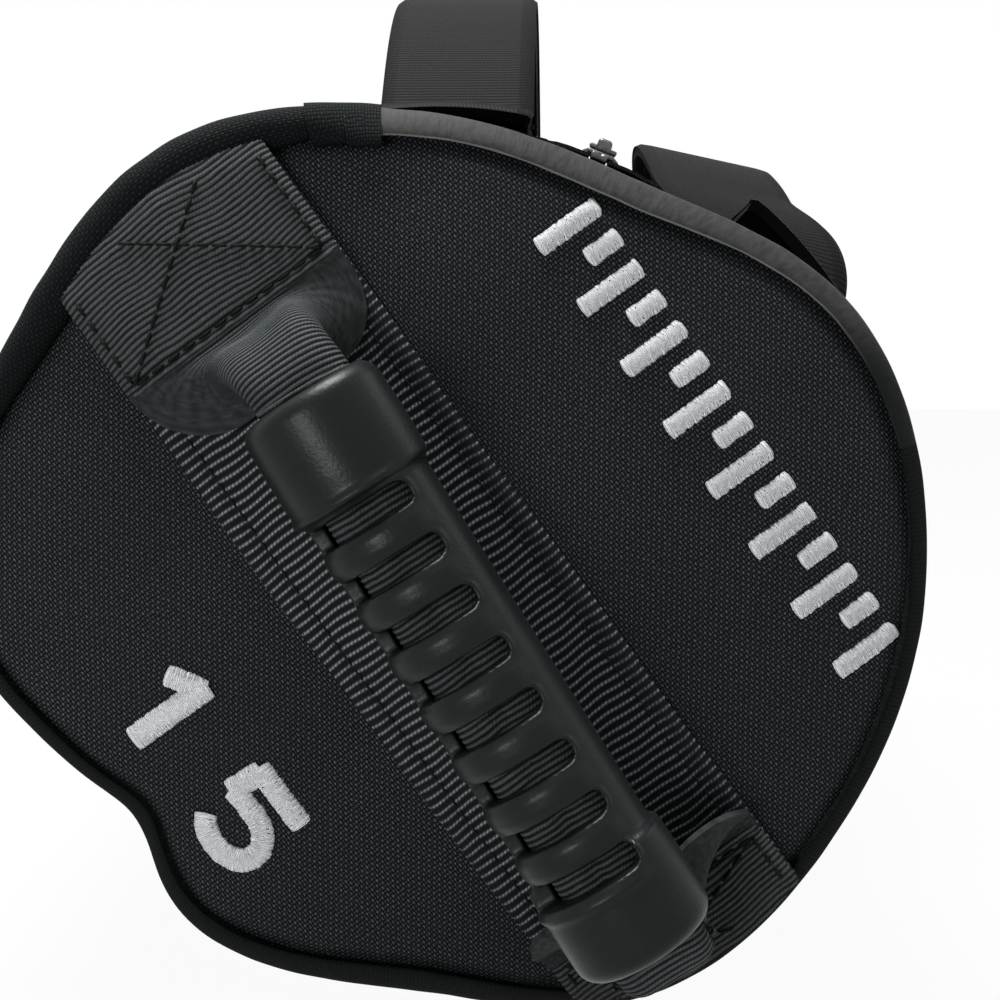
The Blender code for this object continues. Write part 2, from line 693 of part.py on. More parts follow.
def side_block(name, outline, half_width, material):
    """A block on the zipper whose side view is the outline, in (y, lift) from the slider's middle."""
    rings = []
    for across in (-half_width, half_width):
        rings.append([zip_point(across, ZIP_SLIDER_PLACE + y, lift) for y, lift in outline])
    return loft(name, rings, material)


def build_slider(metal):
    """The slider: a plate over the chain with a bridge that holds the pull."""
    half = ZIP_SLIDER_LENGTH / 2
    base = slider_base()
    plate_top = base + ZIP_SLIDER_WALL
    plate = [(-half, base), (half, base), (half, plate_top), (-half, plate_top)]
    slider = side_block("zipper_slider", plate, ZIP_SLIDER_WIDTH / 2, metal)
    root = base + ZIP_SLIDER_WALL / 2
    top = base + ZIP_SLIDER_HEIGHT
    roof = top - ZIP_SLIDER_WALL
    foot = half / 2
    inner = foot - ZIP_SLIDER_WALL
    arch = [(-foot, root), (-inner, root), (-inner, roof), (inner, roof), (inner, root), (foot, root)]
    arch += [(foot, top), (-foot, top)]
    bridge = side_block("slider_bridge_form", arch, ZIP_CHAIN_WIDTH / 2, metal)
    shape_with(slider, bridge, "UNION")


def shape_with(thing, form, operation):
    """Cut a piece with a hidden form, or join the form to it."""
    form.hide_render = True
    form.display_type = "WIRE"
    step = thing.modifiers.new(form.name, "BOOLEAN")
    step.operation = operation
    step.solver = "EXACT"
    step.object = form


def build_pull(metal):
    """The pull: a flat tag with an eye, whose end bar passes under the slider's bridge."""
    half = PULL_WIDTH / 2
    arm = half - ZIP_CHAIN_WIDTH / 2 - 2 * CLEARANCE
    inner = half - arm
    bar = PULL_BAR_WIDTH / 2
    eye = PULL_LENGTH * PULL_EYE_SHARE
    outline = [(-half, -bar), (half, -bar), (half, PULL_LENGTH - arm), (half - arm, PULL_LENGTH)]
    outline += [(-half + arm, PULL_LENGTH), (-half, PULL_LENGTH - arm)]
    hole = [(-inner, bar), (inner, bar), (inner, eye), (-inner, eye)]
    pin, thick = pin_lift(), PULL_THICKNESS / 2
    pull = flat_block("zipper_pull", outline, pin - thick, pin + thick, metal)
    cutter = flat_block("pull_eye_cutter", hole, pin - 2 * thick, pin + 2 * thick, metal)
    shape_with(pull, cutter, "DIFFERENCE")


def flat_block(name, outline, low, high, material):
    """A block on the zipper whose top view is the outline, in (across, y) from the slider's middle."""
    rings = [[zip_point(x, ZIP_SLIDER_PLACE + y, lift) for x, y in outline] for lift in (low, high)]
    return loft(name, rings, material)


# The sand pouches

def pouch_floor():
    """Height at which the pouches rest, on the shell inside the bands."""
    return SHELL_WALL + GROOVE_DEPTH + CLEARANCE


def pouch_point(angle, y, radius, floor):
    """Point of a pouch, flattened where it rests."""
    height = max(floor + POUCH_RADIUS - POUCH_FLAT + radius * math.cos(angle), floor)
    return Vector((radius * math.sin(angle), y, height))


def build_pouch(word, low, high, floor, fabric):
    """A sealed pouch of sand with its ends rounded off, and its rolled closure on top."""
    sides = AROUND * 2 // 3
    rings = []
    middle = (low + high) / 2
    half = (high - low) / 2
    for direction, shares in ((-1, POUCH_RING_SHARES), (1, tuple(reversed(POUCH_RING_SHARES)))):
        for share in shares:
            place = middle + direction * (half - POUCH_END_RADIUS * share)
            bend = math.sqrt(max(0, 1 - (1 - share) ** 2))
            radius = POUCH_RADIUS - POUCH_END_RADIUS * (1 - bend)
            ring = []
            for index in range(sides):
                angle = 2 * math.pi * index / sides
                ring.append(pouch_point(angle, place, radius, floor))
            rings.append(ring)
    loft(word + "_sand_pouch", rings, fabric)
    half_angle = CLOSURE_WIDTH / 2 / POUCH_RADIUS
    angles = steps(-half_angle, half_angle, 6)
    places = (middle - CLOSURE_LENGTH / 2, middle + CLOSURE_LENGTH / 2)
    base = POUCH_RADIUS + CLEARANCE
    top_radius = base + CLOSURE_THICKNESS
    tops = [[pouch_point(a, y, top_radius, floor) for a in angles] for y in places]
    bottoms = [[pouch_point(a, y, base, floor) for a in angles] for y in places]
    slab(word + "_pouch_closure", tops, bottoms, fabric)


def build_pouches(fabric):
    """Three pouches, end to end along the bag."""
    reach = SHELL_END - POUCH_END_SPACE
    length = (2 * reach - 2 * CLEARANCE) / 3
    start = -reach
    for word in ("front", "middle", "back"):
        floor = SHELL_WALL + CLEARANCE if word == "middle" else pouch_floor()
        build_pouch(word, start, start + length, floor, fabric)
        start += length + CLEARANCE


def build_bag():
    """Build every piece of the sandbag."""
    clear_scene()
    fabric = make_material("fabric", (0.012, 0.014, 0.014), 0.85)
    webbing = make_material("webbing", (0.010, 0.011, 0.011), 0.75)
    rubber = make_material("rubber", (0.020, 0.021, 0.022), 0.50)
    metal = make_material("zipper_metal", (0.030, 0.030, 0.032), 0.40, 0.8)
    pouch = make_material("pouch_cloth", (0.060, 0.062, 0.065), 0.80)
    build_shell(fabric)
    for word, side in (("front", -1), ("back", 1)):
        build_band(word + "_body_band", side, webbing)
        build_seam_tape(word + "_seam_tape", side, fabric)
        build_end(word, side, fabric, webbing, rubber)
    left_pose = (LEFT_STRAP_ANGLE, LEFT_STRAP_LEAN, LEFT_STRAP_TWIST, LEFT_STRAP_HEIGHT)
    right_pose = (RIGHT_STRAP_ANGLE, RIGHT_STRAP_LEAN, RIGHT_STRAP_TWIST, RIGHT_STRAP_HEIGHT)
    build_strap("left", left_pose, webbing)
    build_strap("right", right_pose, webbing)
    build_zip(fabric, metal)
    build_pouches(pouch)


build_bag()
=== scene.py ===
"""Sandbag trainer: a round bag of sand pouches with a rubber grip on each end and two carry straps.

Metres, +Z up. The bag lies along Y with its front end towards -Y, as in the CAD frame.
Angles round the bag run clockwise from straight up, seen from the front.
"""
from math import atan, atan2, cos, degrees, hypot, pi, radians, sin

import bmesh
import bpy
import numpy as np
from mathutils import Matrix, Vector, noise


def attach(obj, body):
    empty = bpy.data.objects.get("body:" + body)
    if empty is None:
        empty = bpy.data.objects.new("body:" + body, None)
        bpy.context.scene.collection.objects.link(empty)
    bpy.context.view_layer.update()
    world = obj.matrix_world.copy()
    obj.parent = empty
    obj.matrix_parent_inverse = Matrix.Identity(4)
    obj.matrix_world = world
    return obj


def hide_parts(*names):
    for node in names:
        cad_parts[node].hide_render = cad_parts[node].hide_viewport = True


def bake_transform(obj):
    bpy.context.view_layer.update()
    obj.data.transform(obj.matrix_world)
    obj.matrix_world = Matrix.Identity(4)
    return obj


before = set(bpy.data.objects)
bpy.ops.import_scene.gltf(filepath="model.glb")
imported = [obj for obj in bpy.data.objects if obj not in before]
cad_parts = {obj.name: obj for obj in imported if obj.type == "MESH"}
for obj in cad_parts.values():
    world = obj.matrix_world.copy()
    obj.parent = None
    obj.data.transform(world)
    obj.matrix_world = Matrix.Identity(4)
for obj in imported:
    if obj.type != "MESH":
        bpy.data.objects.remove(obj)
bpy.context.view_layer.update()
scene = bpy.context.scene
scene.view_settings.view_transform = "Standard"

# Camera and studio
# The photograph looks straight at the front end from 40 cm, a little from the upper right.
# Plain studio: pale floor, white surround, one broad soft lamp overhead and two fills.
camera = bpy.data.objects.new("photo_camera", bpy.data.cameras.new("photo_camera"))
scene.collection.objects.link(camera)
FOCAL_PIXELS = 2064
LOOKS_DOWN, LOOKS_LEFT = 150, 60
camera.location = (0.0271, -0.6398, 0.132)
camera.rotation_euler = (pi / 2 - atan(LOOKS_DOWN / FOCAL_PIXELS), 0, atan(LOOKS_LEFT / FOCAL_PIXELS))
camera.data.lens = 74.3
camera.data.clip_start = 0.01
scene.camera = camera


def on_wires(operation, swapped=False):
    """A method that adds one Math node to a wire."""
    def add_node(wire, *others):
        return wire.math(operation, *(others + (wire,) if swapped else (wire,) + others))
    return add_node


class Wire:
    """One output of a material's nodes; arithmetic on it adds Math nodes."""

    __add__ = __radd__ = on_wires("ADD")
    __mul__ = __rmul__ = on_wires("MULTIPLY")
    __sub__, __rsub__ = on_wires("SUBTRACT"), on_wires("SUBTRACT", swapped=True)
    __pow__, __abs__, sine = on_wires("POWER"), on_wires("ABSOLUTE"), on_wires("SINE")

    def __init__(self, tree, socket):
        self.tree, self.socket = tree, socket

    def make(self, kind, inputs, output=0, **settings):
        """Add a node: its settings first, then the values or links of its sockets."""
        node = self.tree.nodes.new(kind)
        for key, value in settings.items():
            setattr(node, key, value)
        for key, value in inputs.items():
            if isinstance(value, Wire):
                self.tree.links.new(value.socket, node.inputs[key])
            else:
                node.inputs[key].default_value = value
        return Wire(self.tree, node.outputs[output])

    def math(self, operation, *values):
        return self.make("ShaderNodeMath", dict(enumerate(values)), operation=operation)

    def beside(self, output):
        """Another output of the same node."""
        return Wire(self.tree, self.socket.node.outputs[output])

    def cloth(self):
        """Places on the piece's own cloth chart, in metres along and across."""
        return self.make("ShaderNodeUVMap", {}, uv_map="cloth")

    def split(self):
        """The three parts of a vector."""
        first = self.make("ShaderNodeSeparateXYZ", {"Vector": self})
        return first, first.beside("Y"), first.beside("Z")

    def ramp(self, low, high):
        """Smooth 0 to 1 between two values."""
        return self.make("ShaderNodeMapRange", {"Value": self, "From Min": low, "From Max": high},
                         interpolation_type="SMOOTHSTEP")

    def blend(self, dark, light):
        """Mix two colours, or colour wires, by this value."""
        dark, light = ((*c, 1) if isinstance(c, tuple) else c for c in (dark, light))
        return self.make("ShaderNodeMix", {0: self, 6: dark, 7: light}, output=2, data_type="RGBA")

    def speckle(self, scale, detail=3):
        """Noise in the metres of this vector."""
        return self.make("ShaderNodeTexNoise", {"Vector": self, "Scale": scale, "Detail": detail})

    def feed(self, node, name):
        self.tree.links.new(self.socket, node.inputs[name])


def start_material(name, **fixed):
    """A new material with its fixed values set on its shader, and its places on the object."""
    material = bpy.data.materials.new(name)
    material.use_nodes = True
    shader = material.node_tree.nodes["Principled BSDF"]
    for key, value in fixed.items():
        shader.inputs[key.replace("_", " ")].default_value = value
    return material, shader, Wire(material.node_tree, None).make("ShaderNodeTexCoord", {}, output="Object")


def paint(shader, colour, roughness, relief=None, depth=0.0):
    """Feed a shader its colour and roughness, and a bump from its relief."""
    colour.feed(shader, "Base Color")
    roughness.feed(shader, "Roughness")
    if relief is not None:
        relief.make("ShaderNodeBump", {"Height": relief, "Distance": depth}).feed(shader, "Normal")


def surround(tree, light, seen):
    """Strength of the surround: light for what it lights, seen for the camera and reflections."""
    shown = Wire(tree, None).make("ShaderNodeLightPath", {}, output="Is Camera Ray")
    for ray in [shown.beside("Is Glossy Ray"), shown.beside("Is Transmission Ray")]:
        shown = shown.math("MAXIMUM", shown, ray)
    return shown * (seen - light) + light


world = bpy.data.worlds.new("studio")
world.use_nodes = True
scene.world = world
backdrop_light = world.node_tree.nodes["Background"]
backdrop_light.inputs["Color"].default_value = (1, 1, 1, 1)
surround(world.node_tree, 0.2, 1.0).feed(backdrop_light, "Strength")

bpy.ops.object.select_all(action="DESELECT")
bpy.ops.mesh.primitive_plane_add(size=8, location=(0, 0, 0))
floor = bpy.context.object
floor.name = "studio_floor"
floor_white, floor_shader, _ = start_material("floor_white", Roughness=0.9, Base_Color=(0.5, 0.5, 0.5, 1))
matt = Wire(floor_white.node_tree, floor_shader.outputs[0])
glow = matt.make("ShaderNodeEmission", {"Strength": 1.0})
matt.make("ShaderNodeMixShader", {"Fac": surround(matt.tree, 0.0, 0.95), 1: matt, 2: glow}).feed(
    matt.tree.nodes["Material Output"], "Surface")
floor.data.materials.append(floor_white)

for name, place, aim, size, power in (
        ("overhead_softbox", (-0.18, -0.15, 1.3), (0, -0.05, 0.09), 0.7, 36),
        ("front_left_key", (-0.26, -0.98, 0.05), (-0.02, -0.28, 0.12), 0.26, 3.6),
        ("right_rim", (1.1, 0.3, 0.9), (0, -0.1, 0.1), 0.6, 1.5)):
    lamp = bpy.data.objects.new(name, bpy.data.lights.new(name, "AREA"))
    scene.collection.objects.link(lamp)
    lamp.data.shape = "DISK"
    lamp.data.size = size
    lamp.data.energy = power
    lamp.location = place
    lamp.rotation_euler = (Vector(aim) - Vector(place)).to_track_quat("-Z", "Y").to_euler()

# Body fabric
# One tube of heavy oxford polyester, sewn to length, with a slot on top for the zipper.
# It is packed tight with sand pouches, so it bellies between the bands and creases by the seams.
TURN = 2 * pi
BAG_RADIUS = 0.097
AXIS_HEIGHT = 0.088
RIM_PLANE = 0.2358
SHELL_END = 0.2345
BAND_PLACE = 0.185
BAND_HALF = 0.019
BAND_BITE = 0.0022
ZIP_ANGLE = radians(22)
ZIP_HALF = 0.15
CLOTH_THICK = 0.0016
ROLL_RADIUS = 0.0042
ROLL_SHARES = (0.6, 0.62, 0.52, 0.38, 0.38, 0.45, 0.6, 0.48, 0.38, 0.55, 0.85, 1.0)
FRONT_EDGE = (0.93, 0.905, 1.025, 1.02, 0.998, 0.993, 0.87, 0.88, 0.834, 1.0, 0.965, 1.008)
BACK_EDGE = (0.91, 0.93, 0.96, 0.97, 0.96, 0.94, 0.84, 0.86, 0.92, 0.95, 0.96, 0.96)
GIRTHS = (
    (-0.2345, FRONT_EDGE),
    (-0.2252, FRONT_EDGE),
    (-0.2132, (0.94, 0.9, 1.02, 1.02, 1.0, 0.98, 0.92, 0.91, 0.83, 0.96, 1.0, 1.01)),
    (-0.15, (0.98, 0.98, 1.0, 1.01, 0.99, 0.97, 0.97, 0.95, 0.96, 1.0, 1.01, 1.0)),
    (0.0, (0.98, 0.98, 1.0, 1.01, 1.0, 0.98, 0.97, 0.98, 1.0, 1.01, 1.0, 1.0)),
    (0.15, (0.98, 0.98, 1.0, 1.01, 1.0, 0.98, 0.97, 0.97, 0.99, 1.01, 1.01, 1.0)),
    (0.2132, (0.96, 0.97, 1.0, 1.01, 0.99, 0.97, 0.95, 0.95, 0.97, 1.0, 1.0, 0.99)),
    (0.2252, BACK_EDGE),
    (0.2345, BACK_EDGE),
)


def grid(rows, columns):
    return np.meshgrid(rows, columns, indexing="ij")


def stack(*parts):
    return np.stack(np.broadcast_arrays(*parts), axis=-1)


def ease(value):
    value = np.clip(value, 0, 1)
    return value * value * (3 - 2 * value)


def dip(value, width):
    """A smooth bump of height one round zero."""
    return np.exp(-(value / width) ** 2)


def around(shares, angle):
    """Smooth periodic reading of twelve shares that start at the top."""
    table = np.asarray(shares)
    place = (np.asarray(angle) / TURN * 12) % 12
    index = place.astype(int)
    part = place - index
    before, here, after, later = (table[(index + step) % 12] for step in (-1, 0, 1, 2))
    slope, next_slope, rise = (after - before) / 2, (later - here) / 2, after - here
    return here + part * (slope + part * (3 * rise - 2 * slope - next_slope
                                          + part * (slope + next_slope - 2 * rise)))


def turned_from(angle, middle):
    """Signed turn from one angle to another, the short way round."""
    return (np.asarray(angle) - middle + pi) % TURN - pi


def front_dent(angle):
    """The pressed-in place at the lower left of the front end."""
    return 0.055 * dip(turned_from(angle, radians(229)), radians(9))


def dent_run(y):
    """Share of the dent at a place along the bag: it is deepest just behind the rim."""
    return ease((-0.135 - y) / 0.05) * (1 + 0.5 * dip(y + 0.208, 0.012))


def girth(angle, y):
    """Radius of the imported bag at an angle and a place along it."""
    angle, y = np.broadcast_arrays(angle, y)
    share = around(GIRTHS[0][1], angle)
    for (start, near), (stop, far) in zip(GIRTHS, GIRTHS[1:]):
        part = np.clip((y - start) / (stop - start), 0, 1)
        mixed = around(near, angle) * (1 - part) + around(far, angle) * part
        share = np.where(y >= start, mixed, share)
    return BAG_RADIUS * (share - front_dent(angle) * dent_run(y))


def hug(y):
    """How deep the bands draw the fabric in."""
    return BAND_BITE * ease((BAND_HALF + 0.0006 - abs(abs(y) - BAND_PLACE)) / 0.0006)


def round_axis(radius, angle, y, floor=0.0, axis=AXIS_HEIGHT):
    """Points at a radius round the bag's axis, none of them below a floor."""
    return stack(radius * np.sin(angle), y, np.maximum(axis + radius * np.cos(angle), floor))


def on_skin(angle, y, lift=0.0):
    """Points of the bag's skin, or lifted off it; it is flat where it rests."""
    return round_axis(girth(angle, y) - hug(y) + lift, angle, y, np.maximum(hug(y) - lift, 0))


def out_of_bag(angle):
    return stack(np.sin(angle), angle * 0, np.cos(angle))


def roll_size(angle):
    """Radius of the fabric roll round each end."""
    return ROLL_RADIUS * around(ROLL_SHARES, angle)


def ripple(points, scale, seed):
    """Smooth seeded noise, -1 to 1, at an array of points."""
    flat = points.reshape(-1, 3) * scale + seed
    return np.array([noise.noise(Vector(p)) for p in flat]).reshape(points.shape[:-1])


def dimples(points, scale, seed, strength=0.9):
    """Broad hollows, 0 to 1."""
    return ease(0.5 + strength * ripple(points, scale, seed))


def mesh_object(name, places, faces):
    mesh = bpy.data.meshes.new(name)
    mesh.from_pydata(places, [], faces)
    thing = bpy.data.objects.new(name, mesh)
    scene.collection.objects.link(thing)
    return thing


def edit_mesh(thing, *steps):
    """Run bmesh steps on a piece's mesh."""
    data = bmesh.new()
    data.from_mesh(thing.data)
    for step in steps:
        step(data)
    data.to_mesh(thing.data)
    data.free()


def drop_loose(data):
    bmesh.ops.delete(data, geom=[v for v in data.verts if not v.link_faces], context="VERTS")


def join_doubles(data):
    bmesh.ops.remove_doubles(data, verts=data.verts, dist=1e-6)


def fill_holes(data):
    bmesh.ops.holes_fill(data, edges=[edge for edge in data.edges if edge.is_boundary])


def face_outwards(data):
    bmesh.ops.recalc_face_normals(data, faces=data.faces)


def alone(thing):
    """Select one object and make it active, with all else deselected."""
    bpy.ops.object.select_all(action="DESELECT")
    thing.select_set(True)
    bpy.context.view_layer.objects.active = thing


def apply_all(thing):
    alone(thing)
    for modifier in list(thing.modifiers):
        bpy.ops.object.modifier_apply(modifier=modifier.name)


def add_wall(thing, thickness):
    wall = thing.modifiers.new("wall", "SOLIDIFY")
    wall.thickness = thickness
    apply_all(thing)


def declare(thing, material, slot, node=None, body="bag"):
    """Give a piece its material, hide the imported solid that it stands for, and hang it on its body; the
    slot is not used.
    """
    thing.data.materials.append(material)
    if node:
        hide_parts(node)
    if body:
        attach(thing, body)
    return thing


def cloth_mesh(name, points, chart, skip=None, steps=()):
    """A mesh from rows of points, with its own cloth chart in metres, along and across."""
    rows, columns = points.shape[:2]
    index = np.arange(rows * columns).reshape(rows, columns)
    corners = stack(index[:-1, :-1], index[:-1, 1:], index[1:, 1:], index[1:, :-1])
    faces = (corners if skip is None else corners[~skip]).reshape(-1, 4)
    thing = mesh_object(name, points.reshape(-1, 3).tolist(), faces.tolist())
    layer = thing.data.uv_layers.new(name="cloth")
    layer.data.foreach_set("uv", chart.reshape(-1, 2)[faces.ravel()].astype(np.float32).ravel())
    edit_mesh(thing, drop_loose, *steps)
    return thing


def cloth_piece(name, points, chart, thick, *declared, turn_over=False, skip=None, steps=()):
    """A finished sheet with a thickness below its face, or a closed skin where that is 0.

    Its material, slot, solid and body follow the thickness.
    """
    if turn_over:
        points, chart = points[:, ::-1], chart[:, ::-1]
        skip = None if skip is None else skip[:, ::-1]
    thing = cloth_mesh(name, points, chart, skip, steps)
    if thick:
        add_wall(thing, thick)
    thing.data.shade_smooth()
    if thick:
        thing.data.set_sharp_from_angle(angle=radians(60))
    return declare(thing, *declared)


def woven_cloth(name, pitch, dark, light, roughness=0.85, relief=0.00012, stretch=1.0, weft_share=0.78,
                sharp=2.0):
    """Plain oxford weave: warp and weft ribs that pass over each other, with small slubs."""
    material, shader, place = start_material(name, Specular_IOR_Level=0.09)
    chart = place.cloth()
    along, across, _ = chart.split()
    wander, jitter = chart.speckle(220, 2) * 1.8, chart.speckle(640, 2) * 2.2
    warp = (along * (pi / pitch / stretch) + wander + jitter).sine()
    weft = (across * (pi / pitch) + wander * 0.7 + jitter * 0.5).sine()
    over = warp.math("GREATER_THAN", warp * weft, 0)
    warp_height = abs(weft) * abs(warp) ** 0.45
    weft_height = abs(warp) * abs(weft) ** 0.45 * weft_share
    height = over * warp_height + (1 - over) * weft_height
    slubs = chart.speckle(900)
    # The colour follows the thread height: thread tops are painted light as a highlight and the gaps are
    # painted dark as shade. Slubs and broad patches add the cloth's own tone.
    fibre_tone_and_painted_shade = (height ** sharp) * (slubs * 1.5 + 0.15) * (place.speckle(28) * 0.6 + 0.7)
    paint(shader, fibre_tone_and_painted_shade.math("MINIMUM", fibre_tone_and_painted_shade, 1.0).blend(dark, light), roughness - height * 0.12,
          height + slubs * 0.25, relief)
    return material


body_cloth = woven_cloth("body_cloth", 0.0006, (0.01, 0.011, 0.011), (0.04, 0.042, 0.04),
                         stretch=1.3, weft_share=0.7)


def settle(angle, y):
    """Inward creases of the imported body: between pouches, by the bands, the rims and the zipper."""
    points = on_skin(angle, y)
    angle, y = np.broadcast_arrays(angle, y)
    broad = 0.0013 * dimples(points, 17, 3.1, 1.2)
    waist = 0.0016 * dip(abs(y) - 0.078, 0.016) * (0.6 + 0.4 * np.sin(5 * angle + 1))
    to_band = abs(abs(y) - BAND_PLACE) - BAND_HALF
    pucker = 0.0007 * np.exp(-np.clip(to_band, 0, 1) / 0.009) * dimples(points, 60, 7.7)
    pleat = 0.0008 * dip(SHELL_END - abs(y) - 0.014, 0.01) * dimples(points, 45, 1.9)
    to_zip = abs(turned_from(angle, ZIP_ANGLE)) * BAG_RADIUS
    drag = 0.0009 * np.exp(-np.clip(to_zip - 0.016, 0, 1) / 0.012) * (abs(y) < ZIP_HALF)
    drag = drag * (0.5 + 0.5 * np.sin(y / 0.0045 + 2 * np.sin(angle * BAG_RADIUS / 0.02)))
    fold = 0.0012 * ease(1.6 * ripple(points * (2.2, 0.7, 2.2), 24, 5.3) - 0.25)
    calm = ease(to_zip / 0.014) * ease(to_band / 0.004)
    return (broad + waist + fold) * calm + pucker * ease(to_band / 0.002) + pleat + drag


slot_half = radians(5)
turns = np.concatenate([ZIP_ANGLE + np.linspace(slot_half, TURN - slot_half, 229),
                        ZIP_ANGLE + TURN + np.linspace(-slot_half, slot_half, 5)[1:]])
stops = np.concatenate([np.linspace(-SHELL_END, -ZIP_HALF, 42), np.linspace(-ZIP_HALF, ZIP_HALF, 116)[1:-1],
                        np.linspace(ZIP_HALF, SHELL_END, 42)])
angles, ys = np.meshgrid(turns, stops)
tuck = 0.6 * roll_size(angles) * ease((abs(ys) - SHELL_END + 0.0045) / 0.0045)
in_slot = (angles[:-1, 1:] > ZIP_ANGLE + TURN - slot_half + 1e-4) & \
          (abs(ys[:-1, 1:] + ys[1:, 1:]) / 2 < ZIP_HALF)
cloth_piece("body_fabric", on_skin(angles, ys, -settle(angles, ys) - tuck),
            stack(ys, angles * BAG_RADIUS), CLOTH_THICK, body_cloth, "bag_fabric", "body_shell",
            skip=in_slot, steps=(join_doubles,))

# End panels
# A round of the same oxford on each end, cut to the bag and crowned by the sand behind it.
# Its weave runs with the webbing strip: u down along the strip, v across it, w out of the bag.
ENDS = (("front", -1), ("back", 1))
STRIP_TILT = radians(54)
U_AXIS = np.array([cos(STRIP_TILT), 0, -sin(STRIP_TILT)])
V_AXIS = np.array([sin(STRIP_TILT), 0, cos(STRIP_TILT)])
PANEL_CROWN = 0.006
PANEL_FACE = 0.0015


def edge_radius(side, angle):
    """Radius of an end's outline at an angle."""
    if side < 0:
        return BAG_RADIUS * (around(FRONT_EDGE, angle) - front_dent(angle))
    return BAG_RADIUS * around(BACK_EDGE, angle)


def panel_reach(side, angle):
    """Radius of a panel inside its fabric roll."""
    return edge_radius(side, angle) - 2 * roll_size(angle) - 0.0004


def reach_at(side, u, v):
    """Radius of a panel through a place in its plane."""
    return panel_reach(side, np.arctan2(u * U_AXIS[0] + v * V_AXIS[0], u * U_AXIS[2] + v * V_AXIS[2]))


def panel_share(side, u, v):
    """How far out a place on a panel lies, 0 at its centre and 1 at its edge."""
    return np.hypot(u, v) / reach_at(side, u, v)


def crown(side, u, v):
    return PANEL_CROWN * np.maximum(0, 1 - panel_share(side, u, v) ** 2)


def on_end(side, u, v, w):
    """A place on an end, (u, v) in its plane and w out of it, as points of the bag."""
    u, v, w = np.broadcast_arrays(u, v, w)
    flat = u[..., None] * U_AXIS + v[..., None] * V_AXIS
    return stack(flat[..., 0], side * (RIM_PLANE + w), AXIS_HEIGHT + flat[..., 2])


def rim_reach(side, direction, v):
    """Where a line along the strip at v meets the panel's edge."""
    low, high = 0.0, BAG_RADIUS
    for _ in range(30):
        middle = (low + high) / 2
        inside = hypot(middle, v) < reach_at(side, direction * middle, v) - 0.0004
        low, high = (middle, high) if inside else (low, middle)
    return direction * low


def panel_level(side, u, v):
    """How far the panel's cloth stands out at a place on it."""
    share = panel_share(side, u, v)
    flat = stack(u, v, float(side))
    level = crown(side, u, v) + PANEL_FACE
    level = level - 0.0009 * dimples(flat, 26, 2.2, 1.0) * ease((1 - share) * 6)
    level = level - 0.0006 * dimples(flat, 70, 9.4, 1.0) * ease((share - 0.7) / 0.2)
    return level - 0.004 * ease((share - 0.955) / 0.07)


def fill_centre(data):
    hole = [edge for edge in data.edges if edge.is_boundary and edge.calc_length() < 0.0001]
    bmesh.ops.contextual_create(data, geom=hole)


def face_away(data):
    """Turn an open sheet's faces out of the bag, towards the end that it lies on."""
    if sum(face.normal.y * face.calc_center_median().y for face in data.faces) < 0:
        bmesh.ops.reverse_faces(data, faces=data.faces)


panel_cloth = woven_cloth("panel_cloth", 0.00064, (0.002, 0.003, 0.004), (0.088, 0.101, 0.103),
                          relief=0.0002, stretch=1.35, weft_share=0.7, sharp=2.8)
for word, side in ENDS:
    shares = np.concatenate([np.linspace(0.004, 0.96, 62), np.linspace(0.975, 1.035, 6)])
    shares, turns = grid(shares, np.linspace(0, TURN, 241))
    reach = shares * panel_reach(side, turns)
    x, z = reach * np.sin(turns), reach * np.cos(turns)
    u, v = x * U_AXIS[0] + z * U_AXIS[2], x * V_AXIS[0] + z * V_AXIS[2]
    cloth_piece(word + "_panel", on_end(side, u, v, panel_level(side, u, v)), stack(u, v), CLOTH_THICK,
                panel_cloth, "bag_fabric", word + "_end_panel",
                steps=(join_doubles, fill_centre, face_outwards, face_away))

# Rim rolls
# The panel and the body are sewn right sides together, and the allowance is turned into a roll.
# It is fattest at the upper left, where a groove parts it from the panel, and thin on the right.
def rim_roll(side, angle, turn, swell=1.0):
    """Points on the roll: angle round the bag, turn round the roll's own section."""
    size = roll_size(angle) * swell
    lumps = np.sin(angle * 31) * 0.5 + np.sin(angle * 53 + 1.3) * 0.5
    fat = size * (1 + 0.035 * lumps * np.cos(turn * 2 + angle * 7))
    lean = radians(36)
    round_out, round_forward = fat * np.cos(turn), fat * np.sin(turn)
    long, short = 1.3 * round_out, 0.34 * round_forward
    flat_out = long * cos(lean) + short * sin(lean)
    flat_forward = short * cos(lean) - long * sin(lean)
    share = around(ROLL_SHARES, angle)
    thin = ease((0.85 - share) / 0.22)
    inward = 0.0016 * ease((share - 0.75) / 0.25) * np.maximum(-np.cos(turn), 0)
    radius = edge_radius(side, angle) - size + round_out * (1 - thin) + flat_out * thin - inward
    forward = round_forward * (1 - thin) + flat_forward * thin
    return round_axis(radius, angle, side * (RIM_PLANE + forward), 0.0002)


# Rim material with painted light: above a height tilted 20° to the right, the roll's upper right is painted a
# lit grey, and below it stays dark. A thin bright line along the folded edge there is a painted highlight.
# The crinkle is the cloth's own texture.
rim_cloth_painted_lit, rim_shader, rim_place = start_material("rim_cloth_painted_lit", Specular_IOR_Level=0.12)
rim_chart = rim_place.cloth()
crinkle = rim_chart.make("ShaderNodeMapping", {"Vector": rim_chart, "Scale": (1, 0.35, 1)}).speckle(650, 4)
painted_fold_highlight = 1 - abs(rim_chart.split()[1] - 0.0131).ramp(0.0009, 0.0016)
rim_right, _, rim_height = rim_place.split()
painted_light_tilt = radians(20)
painted_lit_side = (rim_right * sin(painted_light_tilt) + (rim_height - AXIS_HEIGHT) * cos(painted_light_tilt)).ramp(0.066, 0.08)
rim_tone = crinkle * 0.9 * (rim_place.speckle(30) * 0.8 + 0.5)
crinkle_grey_painted_lit = (rim_tone * painted_lit_side).blend((0.003, 0.004, 0.004), (0.066, 0.068, 0.064))
